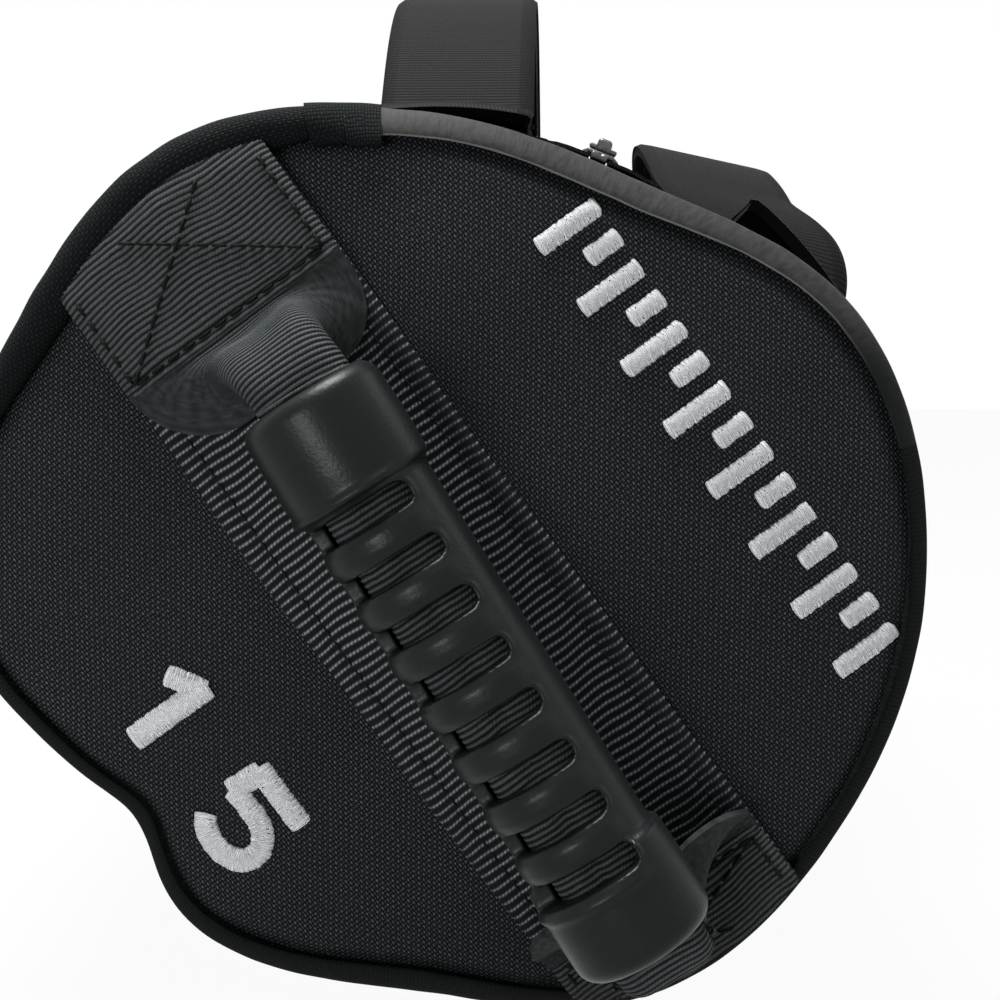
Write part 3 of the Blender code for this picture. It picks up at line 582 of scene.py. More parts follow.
paint(rim_shader, (painted_fold_highlight * painted_lit_side * 0.7).blend(crinkle_grey_painted_lit, (0.16, 0.16, 0.15)), crinkle * 0.2 + 0.55,
      crinkle, 0.0002)
roll_cloth = woven_cloth("roll_cloth", 0.00064, (0.001, 0.002, 0.002), (0.011, 0.014, 0.015), relief=0.0002,
                         stretch=1.4, weft_share=0.5)
for word, side in ENDS:
    angles, turns = grid(np.linspace(0, TURN, 361), np.linspace(0, TURN, 25))
    roll = cloth_piece(word + "_roll", rim_roll(side, angles, turns * -side),
                       stack(angles * BAG_RADIUS, turns * ROLL_RADIUS), 0, roll_cloth, "bag_fabric",
                       word + "_rim_roll", steps=(join_doubles, face_outwards))
    roll.data.materials.append(rim_cloth_painted_lit)
    # Faces from just left of the top round to the upper right take the rim material and its painted light.
    # The rest keep the dark roll cloth.
    for face in roll.data.polygons:
        turned = degrees(atan2(face.center.x, face.center.z - AXIS_HEIGHT))
        face.material_index = int(-14 < turned < 75)
    for number, (low, high, swell) in enumerate(((-14, -7.0, 1.16), (-9.5, -5.0, 1.28))):
        fold_angle, fold_turn = grid(np.radians(np.linspace(low, high, 16)), np.linspace(-0.7, 3.9, 40))
        cloth_piece(f"{word}_roll_seam_end_{number}", rim_roll(side, fold_angle, fold_turn, swell),
                    stack(fold_turn * ROLL_RADIUS, fold_angle * BAG_RADIUS), 0.0006, roll_cloth, "bag_fabric",
                    turn_over=side < 0)

# Body bands and seam tapes
# A 38 mm webbing band is stitched round the bag near each end, with two rows of lockstitch.
# The tube's lengthwise seam is lapped and topstitched between each band and the end.
WEB_RISE = 0.0018
WEB_GAP = 0.0004


def ribbed_webbing(name, pitch, groove, rib, fine, relief, across_scale=0.0009, sharp=1.0, edge=0.0,
                   wander=0.7, plain=0.0):
    """Webbing whose weft ribs run across it; a rib is a row of small twisted threads."""
    material, shader, place = start_material(name, Specular_IOR_Level=0.08)
    chart = place.cloth()
    along, across, _ = chart.split()
    drift = chart.speckle(160, 2) - 0.5
    ridge = abs((along * (pi / pitch) + drift * wander).sine()) ** sharp
    beads = (across * (TURN / across_scale) + along * (5.5 / pitch) + drift * 3.0).sine() * 0.5 + 0.5
    fuzz = chart.speckle(1100)
    height = ridge * (beads * fine + (1 - fine))
    if edge:
        knots = (along * (TURN / pitch) + across * 900).sine() * 0.5 + 0.5
        height = height * (1 - abs(across).ramp(edge - 0.0006, edge) * (1 - knots) * 0.75)
    if plain:
        flat = abs(across).ramp(plain - 0.004, plain + 0.003)
        height = height + (height * 0.1 + fuzz * 0.42 - height) * flat
    # The colour follows the rib height: rib tops are painted light as a highlight and the grooves are painted
    # dark as shade. Fuzz and patches add the webbing's own tone.
    fibre_tone_and_painted_shade = height * (fuzz * 0.9 + 0.5) * (place.speckle(35) * 0.5 + 0.75)
    paint(shader, fibre_tone_and_painted_shade.math("MINIMUM", fibre_tone_and_painted_shade, 1.0).blend(groove, rib), 0.8 - height * 0.22,
          height + fuzz * 0.15, relief)
    return material


def run_of(line):
    """How far along a line of points each one lies."""
    return np.concatenate([[0], np.cumsum(np.linalg.norm(np.diff(line, axis=0), axis=1))])


def read_at(line, run, place):
    """A line of points, read at a place along it."""
    return np.stack([np.interp(place, run, column) for column in line.T], axis=-1)


thread_black, thread_shader, thread_place = start_material("thread_black", Specular_IOR_Level=0.08)
thread_tone = thread_place.speckle(2600, 2)
paint(thread_shader, thread_tone.blend((0.002, 0.002, 0.002), (0.008, 0.009, 0.009)),
      0.75 - thread_tone * 0.2)


def stitch_row(name, points, normals, slot="webbing", body="bag", pitch=0.0034, length=0.0026, width=0.00042):
    """Lockstitches along a path: short threads that dive into the cloth at both ends."""
    normals = np.broadcast_to(normals, points.shape)
    run = run_of(points)
    count = max(1, int(run[-1] / pitch))
    sides = 5
    rings = ((-0.5, -0.5, 0.5), (-0.32, 0.25, 0.9), (0, 0.5, 1), (0.32, 0.25, 0.9), (0.5, -0.5, 0.5))
    verts, faces = [], []
    for number in range(count):
        start = len(verts)
        for share, lift, size in rings:
            at = np.clip((number + 0.5) * run[-1] / count + share * length, 0, run[-1])
            line = read_at(points, run, min(at + 1e-4, run[-1])) - read_at(points, run, max(at - 1e-4, 0))
            line /= np.linalg.norm(line)
            up = read_at(normals, run, at)
            up = up - line * up.dot(line)
            up /= np.linalg.norm(up)
            beside = np.cross(line, up)
            centre = read_at(points, run, at) + up * lift * width
            for turn in np.arange(sides) * TURN / sides:
                verts.append(centre + (beside * cos(turn) + up * sin(turn)) * width * size / 2)
        for ring in range(start, len(verts) - sides, sides):
            for step in range(sides):
                a, b = ring + step, ring + (step + 1) % sides
                faces.append((a, b, b + sides, a + sides))
        faces.append(tuple(range(start, start + sides))[::-1])
        faces.append(tuple(range(len(verts) - sides, len(verts))))
    row = mesh_object(name, [tuple(v) for v in verts], faces)
    edit_mesh(row, face_outwards)
    row.data.shade_smooth()
    return declare(row, thread_black, slot, body=body)


def web_spread(edges, inner, count):
    """Places across a webbing, closer together at its two edges."""
    return np.concatenate([np.negative(edges), np.linspace(-inner, inner, count), edges[::-1]])


def edge_sag(across):
    """How far 38 mm webbing thins at its edges."""
    return 0.0009 * ease((abs(across) - 0.0176) / 0.0014)


band_web = ribbed_webbing("band_webbing", 0.00125, (0.003, 0.004, 0.004), (0.04, 0.044, 0.044), 0.35,
                          0.0003, edge=0.0155)
loop = ZIP_ANGLE + np.linspace(0, TURN, 361)
for word, side in ENDS:
    angles, places = grid(loop, web_spread((0.019, 0.01895, 0.0187, 0.0182), 0.0172, 15))
    ys = side * BAND_PLACE + places
    lift = WEB_GAP + WEB_RISE - edge_sag(places)
    points = round_axis(girth(angles, ys) - BAND_BITE + lift, angles, ys,
                        np.maximum(BAND_BITE - lift, 0) + 0.0001)
    cloth_piece(word + "_band", points, stack(angles * BAG_RADIUS, places), 0.0015, band_web,
                "webbing", word + "_body_band", turn_over=True, steps=(join_doubles,))
    for number, place in enumerate((-0.0158, 0.0158)):
        y = side * BAND_PLACE + place
        stitch_row(f"{word}_band_stitches_{number}", round_axis(girth(loop, y) + 0.00002, loop, y, 0.0003),
                   out_of_bag(loop))

SEAM_ANGLE = radians(13)
for word, side in ENDS:
    places, spreads = grid(side * np.linspace(0.2262, 0.2062, 26), np.linspace(-0.0052, 0.0052, 15))
    ridge = 0.0011 - 0.0009 * ease((abs(spreads) - 0.003) / 0.0022)
    cloth_piece(word + "_seam", on_skin(SEAM_ANGLE + spreads / BAG_RADIUS, places, ridge),
                stack(places, spreads), 0.001, body_cloth, "bag_fabric", word + "_seam_tape",
                turn_over=side > 0)
    line = side * np.linspace(0.2256, 0.2066, 20)
    angle = np.full_like(line, SEAM_ANGLE + 0.0026 / BAG_RADIUS)
    stitch_row(word + "_seam_stitches", on_skin(angle, line, 0.0012), out_of_bag(angle), "bag_fabric")

# End strips
# A 50 mm webbing strip crosses each end, caught under the roll and topstitched 4 mm inside its edges.
# Its weft ridges stand up thin, 1.75 mm apart; their bright colour is a painted highlight, on a ground
# painted dark as shade.
STRIP_HALF = 0.025
STRIP_EDGES = (STRIP_HALF, 0.0248, 0.0243)
STRIP_FLAT = 0.0235
STRIP_RIDGE = 0.00175
STRIP_TOP = PANEL_FACE + WEB_GAP + WEB_RISE
STRIP_STITCH = 0.0205
WEB_THICK = 0.0013
CAUGHT = 0.0022
# The light rib colour is a painted highlight on the ridges, and the groove colour is painted shade.
strip_web = ribbed_webbing("strip_webbing", STRIP_RIDGE, (0.005, 0.006, 0.007), (0.325, 0.363, 0.365), 0.72,
                           0.00034, across_scale=0.00085, sharp=10.0, edge=0.0208, wander=0.6)


def between(table):
    """Middle values between the neighbours of a table's first axis."""
    return (table[:-1] + table[1:]) / 2


for word, side in ENDS:
    across = web_spread(STRIP_EDGES, STRIP_FLAT, 48)
    u, v = grid(np.arange(-0.094, 0.0945, STRIP_RIDGE / 6), across)
    low, high = (np.array([rim_reach(side, end, p) + end * CAUGHT for p in across]) for end in (-1, 1))
    level = STRIP_TOP - 0.0002 + 0.00005 * abs(np.sin(u / STRIP_RIDGE * pi)) + crown(side, u, v)
    level = level - 0.0011 * ease((abs(v) - 0.0236) / 0.0014)
    level = level - 0.00025 * dip(abs(v) - STRIP_STITCH, 0.0006)
    level = level - 0.25 * np.maximum(np.maximum(low + 0.003 - u, u - high + 0.003), 0)
    middle = between(u)[:, :-1]
    skip = (middle < between(low)) | (middle > between(high))
    v = v + 0.0002 * np.sin(u / 0.011)
    wobble = 0.00022 * np.sin(v / 0.0042 + u / 0.009) + 0.00012 * np.sin(v / 0.0017 + 3 * u / 0.01)
    cloth_piece(word + "_strip", on_end(side, u, v, level), stack(u + wobble, v), WEB_THICK, strip_web,
                "webbing", word + "_end_strip", turn_over=side < 0, skip=skip)
    for number, place in enumerate((-STRIP_STITCH, STRIP_STITCH)):
        u = np.linspace(rim_reach(side, -1, place) + 0.001, rim_reach(side, 1, place) - 0.001, 200)
        path = on_end(side, u, place, crown(side, u, place) + STRIP_TOP - 0.00025)
        stitch_row(f"{word}_strip_stitches_{number}", path, (0, side, 0))

# Handle webbing
# One length of softer 50 mm webbing makes each handle: stitched flat with a crossed box at both
# ends of the strip, gathered with its edges rolled under, and threaded through the grip.
TAB_TOP = STRIP_TOP + WEB_GAP + WEB_RISE
TAB_RIB = 0.00118
TAB_STITCH = 0.0018
BOX_HALF = 0.0226
UPPER_TAB = 0.028
LOWER_TAB = 0.0157
STANDOFF = 0.036
GRIP_HALF = 0.059
GRIP_U, GRIP_V = 0.0185, 0.002
GRIP_SKEW = radians(4)
handle_look = {"pitch": TAB_RIB, "groove": (0.002, 0.003, 0.003), "rib": (0.072, 0.08, 0.081), "fine": 0.3,
               "relief": 0.0003, "across_scale": 0.0007, "sharp": 1.6}
tab_web = ribbed_webbing("handle_webbing", wander=2.0, **handle_look)
fold_web = ribbed_webbing("folded_webbing", wander=0.9, plain=0.012, **handle_look)


def grip_spot(along, across=0.0):
    """A place along and across the grip, in the plane of the strip."""
    cosine, sine = cos(GRIP_SKEW), sin(GRIP_SKEW)
    return GRIP_U + along * cosine + across * sine, GRIP_V - along * sine + across * cosine


def tab_edge(side, end):
    return rim_reach(side, end, 0) - end * (UPPER_TAB if end < 0 else LOWER_TAB)


def bezier(start, first, second, stop, t):
    return start * (1 - t) ** 3 + 3 * first * t * (1 - t) ** 2 + 3 * second * t * t * (1 - t) + stop * t ** 3


def riser_path(side, end, count):
    """Even places (u, w) and directions along a riser, from its tab's edge to inside the grip."""
    edge = tab_edge(side, end)
    base = float(crown(side, edge, 0.0)) + TAB_TOP - WEB_RISE / 2
    start = np.array([edge + end * 0.0006, base])
    stop = np.array([grip_spot(end * (GRIP_HALF - 0.0002))[0], STANDOFF])
    lean = STANDOFF - base
    if end < 0:
        first, second = start + (0.25 * lean, 0), stop - (0.8 * lean, 0)
    else:
        first, second = np.array([stop[0] - 0.52 * lean, base + 0.11 * lean]), stop + (0.9 * lean, 0)
    line = bezier(start, first, second, stop, np.linspace(0, 1, 600)[:, None])
    line = np.vstack([line, stop - (end * 0.003, 0)])
    run = run_of(line)
    even = np.linspace(0, run[-1], count)
    places = read_at(line, run, even)
    heading = np.gradient(places, axis=0)
    return even, places, heading / np.linalg.norm(heading, axis=1)[:, None]


def rolled_edges(across, gather):
    """Section of the gathering webbing: how far each thread sits across and below, edges rolling under."""
    fine = np.linspace(0, STRIP_HALF, 251)
    bend = between(gather * 1.5 * pi * ease((fine - 0.004) / 0.021) ** 0.9)
    out, down = (np.concatenate([[0], np.cumsum(part * 0.0001)]) for part in (np.cos(bend), np.sin(bend)))
    return np.sign(across) * np.interp(abs(across), fine, out), np.interp(abs(across), fine, down)


def rib_height(along):
    """Height of the weft ribs at a place along the webbing, 0 to 1."""
    return abs(np.sin(along / TAB_RIB * pi)) ** 0.7


def add_ribs(points, height, flip):
    """Raise the weft ribs of a webbing off its surface."""
    normal = np.cross(np.gradient(points, axis=0), np.gradient(points, axis=1)) * flip
    normal /= np.linalg.norm(normal, axis=-1)[..., None] + 1e-12
    return points + normal * height[..., None]


def wavy(u, v):
    return 0.0007 * np.sin(v / 0.0075 + u / 0.02) + 0.0003 * np.sin(v / 0.0031 + 1)


def squared(value, power):
    """A sine or cosine, filled out so that its circle turns a rounded box."""
    return np.sign(value) * abs(value) ** power


def tab_level(side, end, u, v):
    """How far a stitched tab stands out at a place on it."""
    level = TAB_TOP - 0.00035 - 0.001 * ease((abs(v) - 0.0238) / 0.0012)
    level = level - 0.0006 * dip(abs(u - tab_edge(side, end)) - TAB_STITCH, 0.0008)
    return level + 0.0004 * dimples(stack(u, v, float(side)), 90, 4.4, 1.0) + crown(side, u, v)


for word, side in ENDS:
    for part_name, end in (("upper", -1), ("lower", 1)):
        edge = tab_edge(side, end)
        across = web_spread(STRIP_EDGES, STRIP_FLAT, 44)
        reach = np.array([rim_reach(side, end, p) + end * CAUGHT for p in across])
        far = max(abs(reach.min()), abs(reach.max())) * end
        u, v = grid(np.arange(min(edge, far), max(edge, far), TAB_RIB / 6), across)
        cloth = u + wavy(u, v) * ease(abs(u - edge) / 0.006)
        level = tab_level(side, end, u, v) - 0.25 * np.maximum(end * (u - reach + end * 0.003), 0)
        points = add_ribs(on_end(side, u, v, level), 0.00014 * rib_height(cloth), -side)
        cloth_piece(f"{word}_handle_{part_name}_stitched_end", points, stack(cloth, v), WEB_THICK, tab_web,
                    "webbing", f"{word}_handle_{part_name}_tab", turn_over=side < 0,
                    skip=end * (between(u)[:, :-1] - between(reach)) > 0)

        inner = edge + end * TAB_STITCH
        outer = rim_reach(side, end, 0) + end * 0.0005
        seams = ((-BOX_HALF, inner, BOX_HALF), (-BOX_HALF, outer, 0.0125), (BOX_HALF, outer, -0.0125),
                 (-BOX_HALF, outer, -BOX_HALF), (BOX_HALF, outer, BOX_HALF))
        for number, (start_v, stop_u, stop_v) in enumerate(seams):
            u, v = np.linspace((inner, start_v), (stop_u, stop_v), 80).T
            keep = np.array([end * (rim_reach(side, end, b) - a) > 0.0004 for a, b in zip(u, v)])
            u, v = u[keep], v[keep]
            stitch_row(f"{word}_{part_name}_box_stitches_{number}",
                       on_end(side, u, v, tab_level(side, end, u, v) + 0.00028), (0, side, 0),
                       pitch=0.0036, length=0.0032, width=0.0008)

        even, places, heading = riser_path(side, end, 270)
        spread = np.linspace(-STRIP_HALF, STRIP_HALF, 75)
        runs, spreads = grid(even, spread)
        rows = []
        for share, place, line in zip(even / even[-1], places, heading):
            if end < 0:
                gather = 0.45 * float(ease(share / 0.22)) + 0.55 * np.clip((share - 0.1) / 0.72, 0, 1)
            else:
                gather = float(ease((share - 0.12) / 0.55))
            across, down = rolled_edges(spread, gather)
            pucker = np.sin(spread / 0.0045 + (2.0 if end < 0 else 0.4))
            down = down + 0.001 * gather * (1 - gather) * 4 * pucker
            turn = GRIP_SKEW * gather
            u = place[0] - down * line[1] * end + across * sin(turn)
            v = (GRIP_V - end * GRIP_HALF * sin(GRIP_SKEW)) * gather + across * cos(turn)
            w = place[1] + down * line[0] * end
            under = (abs(u) < abs(edge)) if end < 0 else (u < edge)
            lowest = crown(side, u, v) + STRIP_TOP + 0.0012
            w = np.where(under | (abs(v) < 0.026), np.maximum(w, lowest), w)
            rows.append(on_end(side, u, v, w))
        cloth = edge - end * runs + wavy(runs, spreads) * ease(runs / even[-1] * 6) * 0.6
        height = 0.00017 * (1 - ease((abs(spreads) - 0.009) / 0.004)) * rib_height(cloth)
        riser = cloth_piece(f"{word}_handle_{part_name}_fold", add_ribs(np.array(rows), height, side * end),
                            stack(cloth, spreads), WEB_THICK, fold_web, "webbing",
                            f"{word}_handle_{part_name}_riser", None, turn_over=side * end > 0)
        low = on_end(side, edge, 0.0, float(crown(side, edge, 0.0)) + TAB_TOP)
        high = on_end(side, *grip_spot(end * GRIP_HALF), STANDOFF - 0.003)
        tuple(low)
        tuple(high)
        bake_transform(riser)

    along, turn = grid(np.arange(-0.06, 0.0601, TAB_RIB / 5), np.linspace(0, TURN, 49))
    across, out = 0.0091 * squared(np.cos(turn), 0.75), 0.0066 * squared(np.sin(turn), 0.75)
    out = out - 0.0011 * dip(across, 0.0012) * (out > 0)
    points = on_end(side, *grip_spot(along, across), STANDOFF + out)
    cloth = along + wavy(along, across) * 0.5
    outward = points - on_end(side, *grip_spot(along), STANDOFF)
    outward = outward / (np.linalg.norm(outward, axis=-1)[..., None] + 1e-9)
    points = points + outward * (0.00032 * rib_height(cloth) - 0.0003)[..., None]
    cloth_piece(word + "_handle_threaded_webbing", points, stack(cloth, across), 0, tab_web, "webbing",
                word + "_handle_core", word + "_handle", steps=(join_doubles, fill_holes, face_outwards))

# Grips
# A moulded rubber sleeve: two plain collars, and between them a shallow finger bed whose eight
# windows open its front and left wall, so the webbing shows, while a spine runs down the right.
rubber, rubber_shader, rubber_place = start_material("grip_rubber", Specular_IOR_Level=0.15)
rubber_grain = rubber_place.speckle(1500)
rubber_cloud = rubber_place.speckle(60)
rubber_tone = rubber_cloud * 0.7 + rubber_grain * 0.3
paint(rubber_shader, rubber_tone.blend((0.003, 0.004, 0.004), (0.007, 0.009, 0.009)),
      rubber_cloud * 0.1 + rubber_grain * 0.06 + 0.28, rubber_grain, 0.00006)

GRIP_RADIUS = 0.0138
GRIP_BORE = 0.0096
MOUTH = 0.0036
BED_END = GRIP_HALF - 0.02
WINDOW_PITCH, WINDOW_WIDTH, WINDOW_SHIFT = 0.0107, 0.0044, 0.0026
WINDOW_ROUND = 0.0019


def select_all():
    bpy.ops.mesh.select_all(action="SELECT")


def add_block(name, place, size, bevel=0.0, segments=3):
    """A cube at its place and size, with all its edges bevelled."""
    bpy.ops.object.select_all(action="DESELECT")
    bpy.ops.mesh.primitive_cube_add(size=1, location=place)
    block = bpy.context.object
    block.name = name
    block.scale = size
    bpy.ops.object.transform_apply(location=True, rotation=True, scale=True)
    if bevel:
        bpy.ops.object.mode_set(mode="EDIT")
        select_all()
        bpy.ops.mesh.bevel(offset=bevel, segments=segments, affect="EDGES")
        bpy.ops.object.mode_set(mode="OBJECT")
    return block


def combine(thing, other, operation="DIFFERENCE"):
    """Cut another solid out of a piece, or unite the two; the other is used up."""
    cut = thing.modifiers.new("cut", "BOOLEAN")
    cut.object, cut.operation = other, operation
    apply_all(thing)
    bpy.data.objects.remove(other)


def join_up(things):
    alone(things[0])
    for thing in things:
        thing.select_set(True)
    bpy.ops.object.join()
    return things[0]


def round_ends(data):
    """Round a window cutter's two upright edges at its right end."""
    ends = [edge for edge in data.edges if all(v.co.y > 0 for v in edge.verts)
            and abs(edge.verts[0].co.z - edge.verts[1].co.z) > 0.01]
    bmesh.ops.bevel(data, geom=ends, offset=WINDOW_ROUND, segments=5, affect="EDGES", profile=0.5)


profile = [(-GRIP_HALF + 0.0008, GRIP_BORE), (-GRIP_HALF, GRIP_BORE + 0.0006)]
profile += [(-GRIP_HALF + MOUTH * (1 - cos(turn)), GRIP_RADIUS - MOUTH * (1 - sin(turn)))
            for turn in np.linspace(0, pi / 2, 7)]
profile += [(-0.05, GRIP_RADIUS + 0.00015), (-0.044, GRIP_RADIUS + 0.00015),
            (-BED_END - 0.0004, GRIP_RADIUS), (-BED_END + 0.0003, GRIP_RADIUS - 0.0002),
            (-BED_END + 0.0008, GRIP_RADIUS - 0.0013)]
bed = [(x, GRIP_RADIUS - 0.0014) for x in np.linspace(-BED_END + 0.0022, BED_END - 0.0022, 40)]
profile += bed + [(-x, radius) for x, radius in reversed(profile)]

bpy.ops.object.select_all(action="DESELECT")
bpy.ops.mesh.primitive_circle_add(vertices=96, radius=profile[0][1], location=(0, 0, 0))
grip = bpy.context.object
grip.name = "front_grip"
grip.rotation_euler = (0, pi / 2, 0)
bpy.ops.object.transform_apply(rotation=True)
bpy.ops.object.mode_set(mode="EDIT")
select_all()
bpy.ops.transform.translate(value=(profile[0][0], 0, 0))
for (x, radius), (next_x, next_radius) in zip(profile, profile[1:]):
    bpy.ops.mesh.extrude_region_move(TRANSFORM_OT_translate={"value": (next_x - x, 0, 0)})
    growth = next_radius / radius
    bpy.ops.transform.resize(value=(1, growth, growth), center_override=(next_x, 0, 0))
bpy.ops.mesh.select_all(action="DESELECT")
bpy.ops.mesh.select_non_manifold()
bpy.ops.mesh.bridge_edge_loops()
select_all()
bpy.ops.mesh.normals_make_consistent(inside=False)
bpy.ops.object.mode_set(mode="OBJECT")

cutters = [add_block("window", ((number - 3.5) * WINDOW_PITCH + WINDOW_SHIFT, (0.008 - 0.03) / 2,
                                (0.003 + 0.03) / 2), (WINDOW_WIDTH, 0.038, 0.027)) for number in range(8)]
for cutter in cutters:
    edit_mesh(cutter, round_ends)
combine(grip, join_up(cutters))
remesh = grip.modifiers.new("moulded", "REMESH")
remesh.mode, remesh.voxel_size = "VOXEL", 0.0005
soften = grip.modifiers.new("soft_edges", "SMOOTH")
soften.factor, soften.iterations = 0.5, 4
apply_all(grip)
corners = np.zeros(len(grip.data.vertices) * 3)
grip.data.vertices.foreach_get("co", corners)
corners = corners.reshape(-1, 3)
place, beside, outward = corners.T
radius = np.hypot(beside, outward)
to_window = (place - WINDOW_SHIFT) / WINDOW_PITCH + 0.5
to_window = abs(to_window - np.round(to_window)) * WINDOW_PITCH - WINDOW_WIDTH / 2
# Pillows swell between the windows, and a lip runs round each window's right end.
in_bed = ease((4.05 * WINDOW_PITCH - abs(place - WINDOW_SHIFT)) / 0.002)
outside = ease((radius - 0.0118) / 0.0008) * in_bed * ease((outward + 0.004) / 0.004)
pillow = 0.0008 * ease(to_window / 0.0022) * ease((0.0095 - beside) / 0.004)
past_end = np.hypot(np.maximum(to_window + WINDOW_ROUND, 0), np.maximum(beside - 0.0061, 0)) - WINDOW_ROUND
lip = 0.0004 * dip(past_end - 0.0004, 0.00045) * ease((beside - 0.001) / 0.004)
corners[:, 1:] *= (1 + outside * (pillow + lip) / np.maximum(radius, 0.001))[:, None]
grip.data.vertices.foreach_set("co", corners.ravel())
grip.data.update()
grip.data.shade_smooth()
back_grip = grip.copy()
back_grip.data = grip.data.copy()
back_grip.name = "back_grip"
scene.collection.objects.link(back_grip)
for (word, side), piece in zip(ENDS, (grip, back_grip)):
    length = U_AXIS * cos(GRIP_SKEW) - V_AXIS * sin(GRIP_SKEW)
    beside = U_AXIS * sin(GRIP_SKEW) + V_AXIS * cos(GRIP_SKEW)
    middle = on_end(side, GRIP_U, GRIP_V, STANDOFF)
    piece.data.transform(Matrix([*zip(length, beside, (0, side, 0), middle), (0, 0, 0, 1)]))
    if side > 0:
        piece.data.flip_normals()
    declare(piece, rubber, "grip_rubber", word + "_handle_grip", word + "_handle")

# Carry straps
# Two loops of doubled 38 mm webbing lift the bag lengthwise. Each end is sewn flat on the bag with
# a crossed box and bends up out of it; the left loop stands, the right one leans in and twists.
ANCHOR_PLACE = 0.1
ANCHOR_LENGTH = 0.045
STRAP_THICK = 0.003
STRAP_GAP = 0.0003
STRAP_STITCH = 0.0155
ROOT_SHARE = 0.604
strap_web = ribbed_webbing("strap_webbing", 0.0012, (0.0005, 0.0005, 0.0005), (0.002, 0.0025, 0.0025), 0.35,
                           0.00018, edge=0.0165)


def strap_rows(pose):
    """Centre, across and up directions of a strap's rows, from its front anchor to its back one."""
    angle, lean, twist, height, skews = pose
    rows = []
    for side, shares in ((-1, np.linspace(0, 1, 150)), (1, np.linspace(1, 0, 150)[1:])):
        start = np.array([side * (ANCHOR_PLACE - STRAP_GAP), STRAP_THICK / 2 + STRAP_GAP])
        first = np.array([side * ANCHOR_PLACE * 0.9, start[1] + 2 * STRAP_THICK])
        second = np.array([side * ANCHOR_PLACE * 0.6, height])
        stop = np.array([0, height])
        foot = on_skin(np.array(angle), np.array(side * ANCHOR_PLACE))
        for t in shares:
            y, lift = bezier(start, first, second, stop, t)
            slope = (first - start) * (1 - t) ** 2 + (second - first) * 2 * t * (1 - t)
            slope = slope + (stop - second) * t * t
            along, rise = slope / np.linalg.norm(slope)
            bend = ease(t / 0.6)
            turn = angle + lean * bend
            out = np.array([sin(turn), 0, cos(turn)])
            beside = np.array([cos(turn), 0, -sin(turn)])
            upper = (np.array([0, rise, 0]) - out * along) * side
            centre = np.array([foot[0], y, foot[2]]) + out * lift
            tilt = twist * bend + skews[side > 0] * sin(pi * bend)
            wide = beside * cos(tilt) - upper * sin(tilt)
            rows.append((centre, wide, upper * cos(tilt) + beside * sin(tilt), side * (1 - t)))
    return [np.array(column) for column in zip(*rows)]


strap_spread = web_spread((0.019, 0.0188, 0.0184), 0.0178, 19)
for word, pose in (("left", (0.0, 0.0, 0.0, 0.05, (0, 0))),
                   ("right", (radians(54), -1.175, 0.446, 0.0425, (-0.296, -0.4)))):
    centres, wides, ups, places = strap_rows(pose)
    top = centres[:, None] + wides[:, None] * strap_spread[None, :, None] \
        + ups[:, None] * (STRAP_THICK / 2 - edge_sag(strap_spread))[None, :, None]
    chart = stack(*grid(run_of(centres), strap_spread))
    low, high = (int(np.searchsorted(places, end * (1 - ROOT_SHARE))) for end in (-1, 1))
    spans = (("front_root", 0, low + 1), ("arch", low, high + 1), ("back_root", high, len(top)))
    for part_name, low, high in spans:
        body = word + "_strap" if part_name == "arch" else None
        node = word + "_strap_" + part_name
        pieces = [cloth_piece(f"{word}_carry_strap_{part_name}", top[low:high], chart[low:high],
                              STRAP_THICK - 0.0002, strap_web, "webbing", node, body, turn_over=True)]
        for number, place in enumerate((-STRAP_STITCH, STRAP_STITCH)):
            for face, sign, sink in (("top", 1, 0.0001), ("under", -1, 0.0003)):
                up = ups[low:high] * sign
                path = centres[low:high] + wides[low:high] * place + up * (STRAP_THICK / 2 - sink)
                pieces.append(stitch_row(f"{word}_{part_name}_{face}_stitches_{number}", path, up, body=body,
                                         pitch=0.0038, length=0.003))
        if not body:
            ends = centres[[low, high - 1]] if part_name == "front_root" else centres[[high - 1, low]]
            for item in pieces:
                tuple(ends[0])
                tuple(ends[1])
                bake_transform(item)

    angle = pose[0]
    for name, side in ENDS:
        ys, spreads = grid(side * np.linspace(ANCHOR_PLACE - STRAP_GAP, ANCHOR_PLACE + ANCHOR_LENGTH, 50),
                           strap_spread)
        beyond = abs(ys) - ANCHOR_PLACE
        lift = STRAP_GAP + STRAP_THICK - edge_sag(spreads) + 0.0014 * ease((beyond - 0.033) / 0.002)
        lift = lift - 0.0012 * ease((beyond - ANCHOR_LENGTH + 0.0012) / 0.0012)
        curl = 0.009 if (word, name) == ("right", "front") else 0.0012
        lift = lift + curl * ease((beyond - 0.032) / 0.018) ** 1.5
        cloth_piece(f"{word}_carry_strap_{name}_anchor", on_skin(angle + spreads / BAG_RADIUS, ys, lift),
                    stack(ys, spreads), STRAP_THICK - 0.0002, strap_web, "webbing",
                    f"{word}_strap_{name}_anchor", turn_over=side > 0)
        near, far = side * (ANCHOR_PLACE + 0.003), side * (ANCHOR_PLACE + 0.0315)
        box = ((near, near, -1, 1), (far, far, -1, 1), (near, far, -1, -1), (near, far, 1, 1),
               (near, far, -1, 1), (near, far, 1, -1))
        for number, (y, next_y, edge, next_edge) in enumerate(box):
            y, s = np.linspace((y, edge * STRAP_STITCH), (next_y, next_edge * STRAP_STITCH), 30).T
            turn = angle + s / BAG_RADIUS
            stitch_row(f"{word}_{name}_anchor_stitches_{number}", on_skin(turn, y, STRAP_THICK + STRAP_GAP),
                       out_of_bag(turn), length=0.0028)

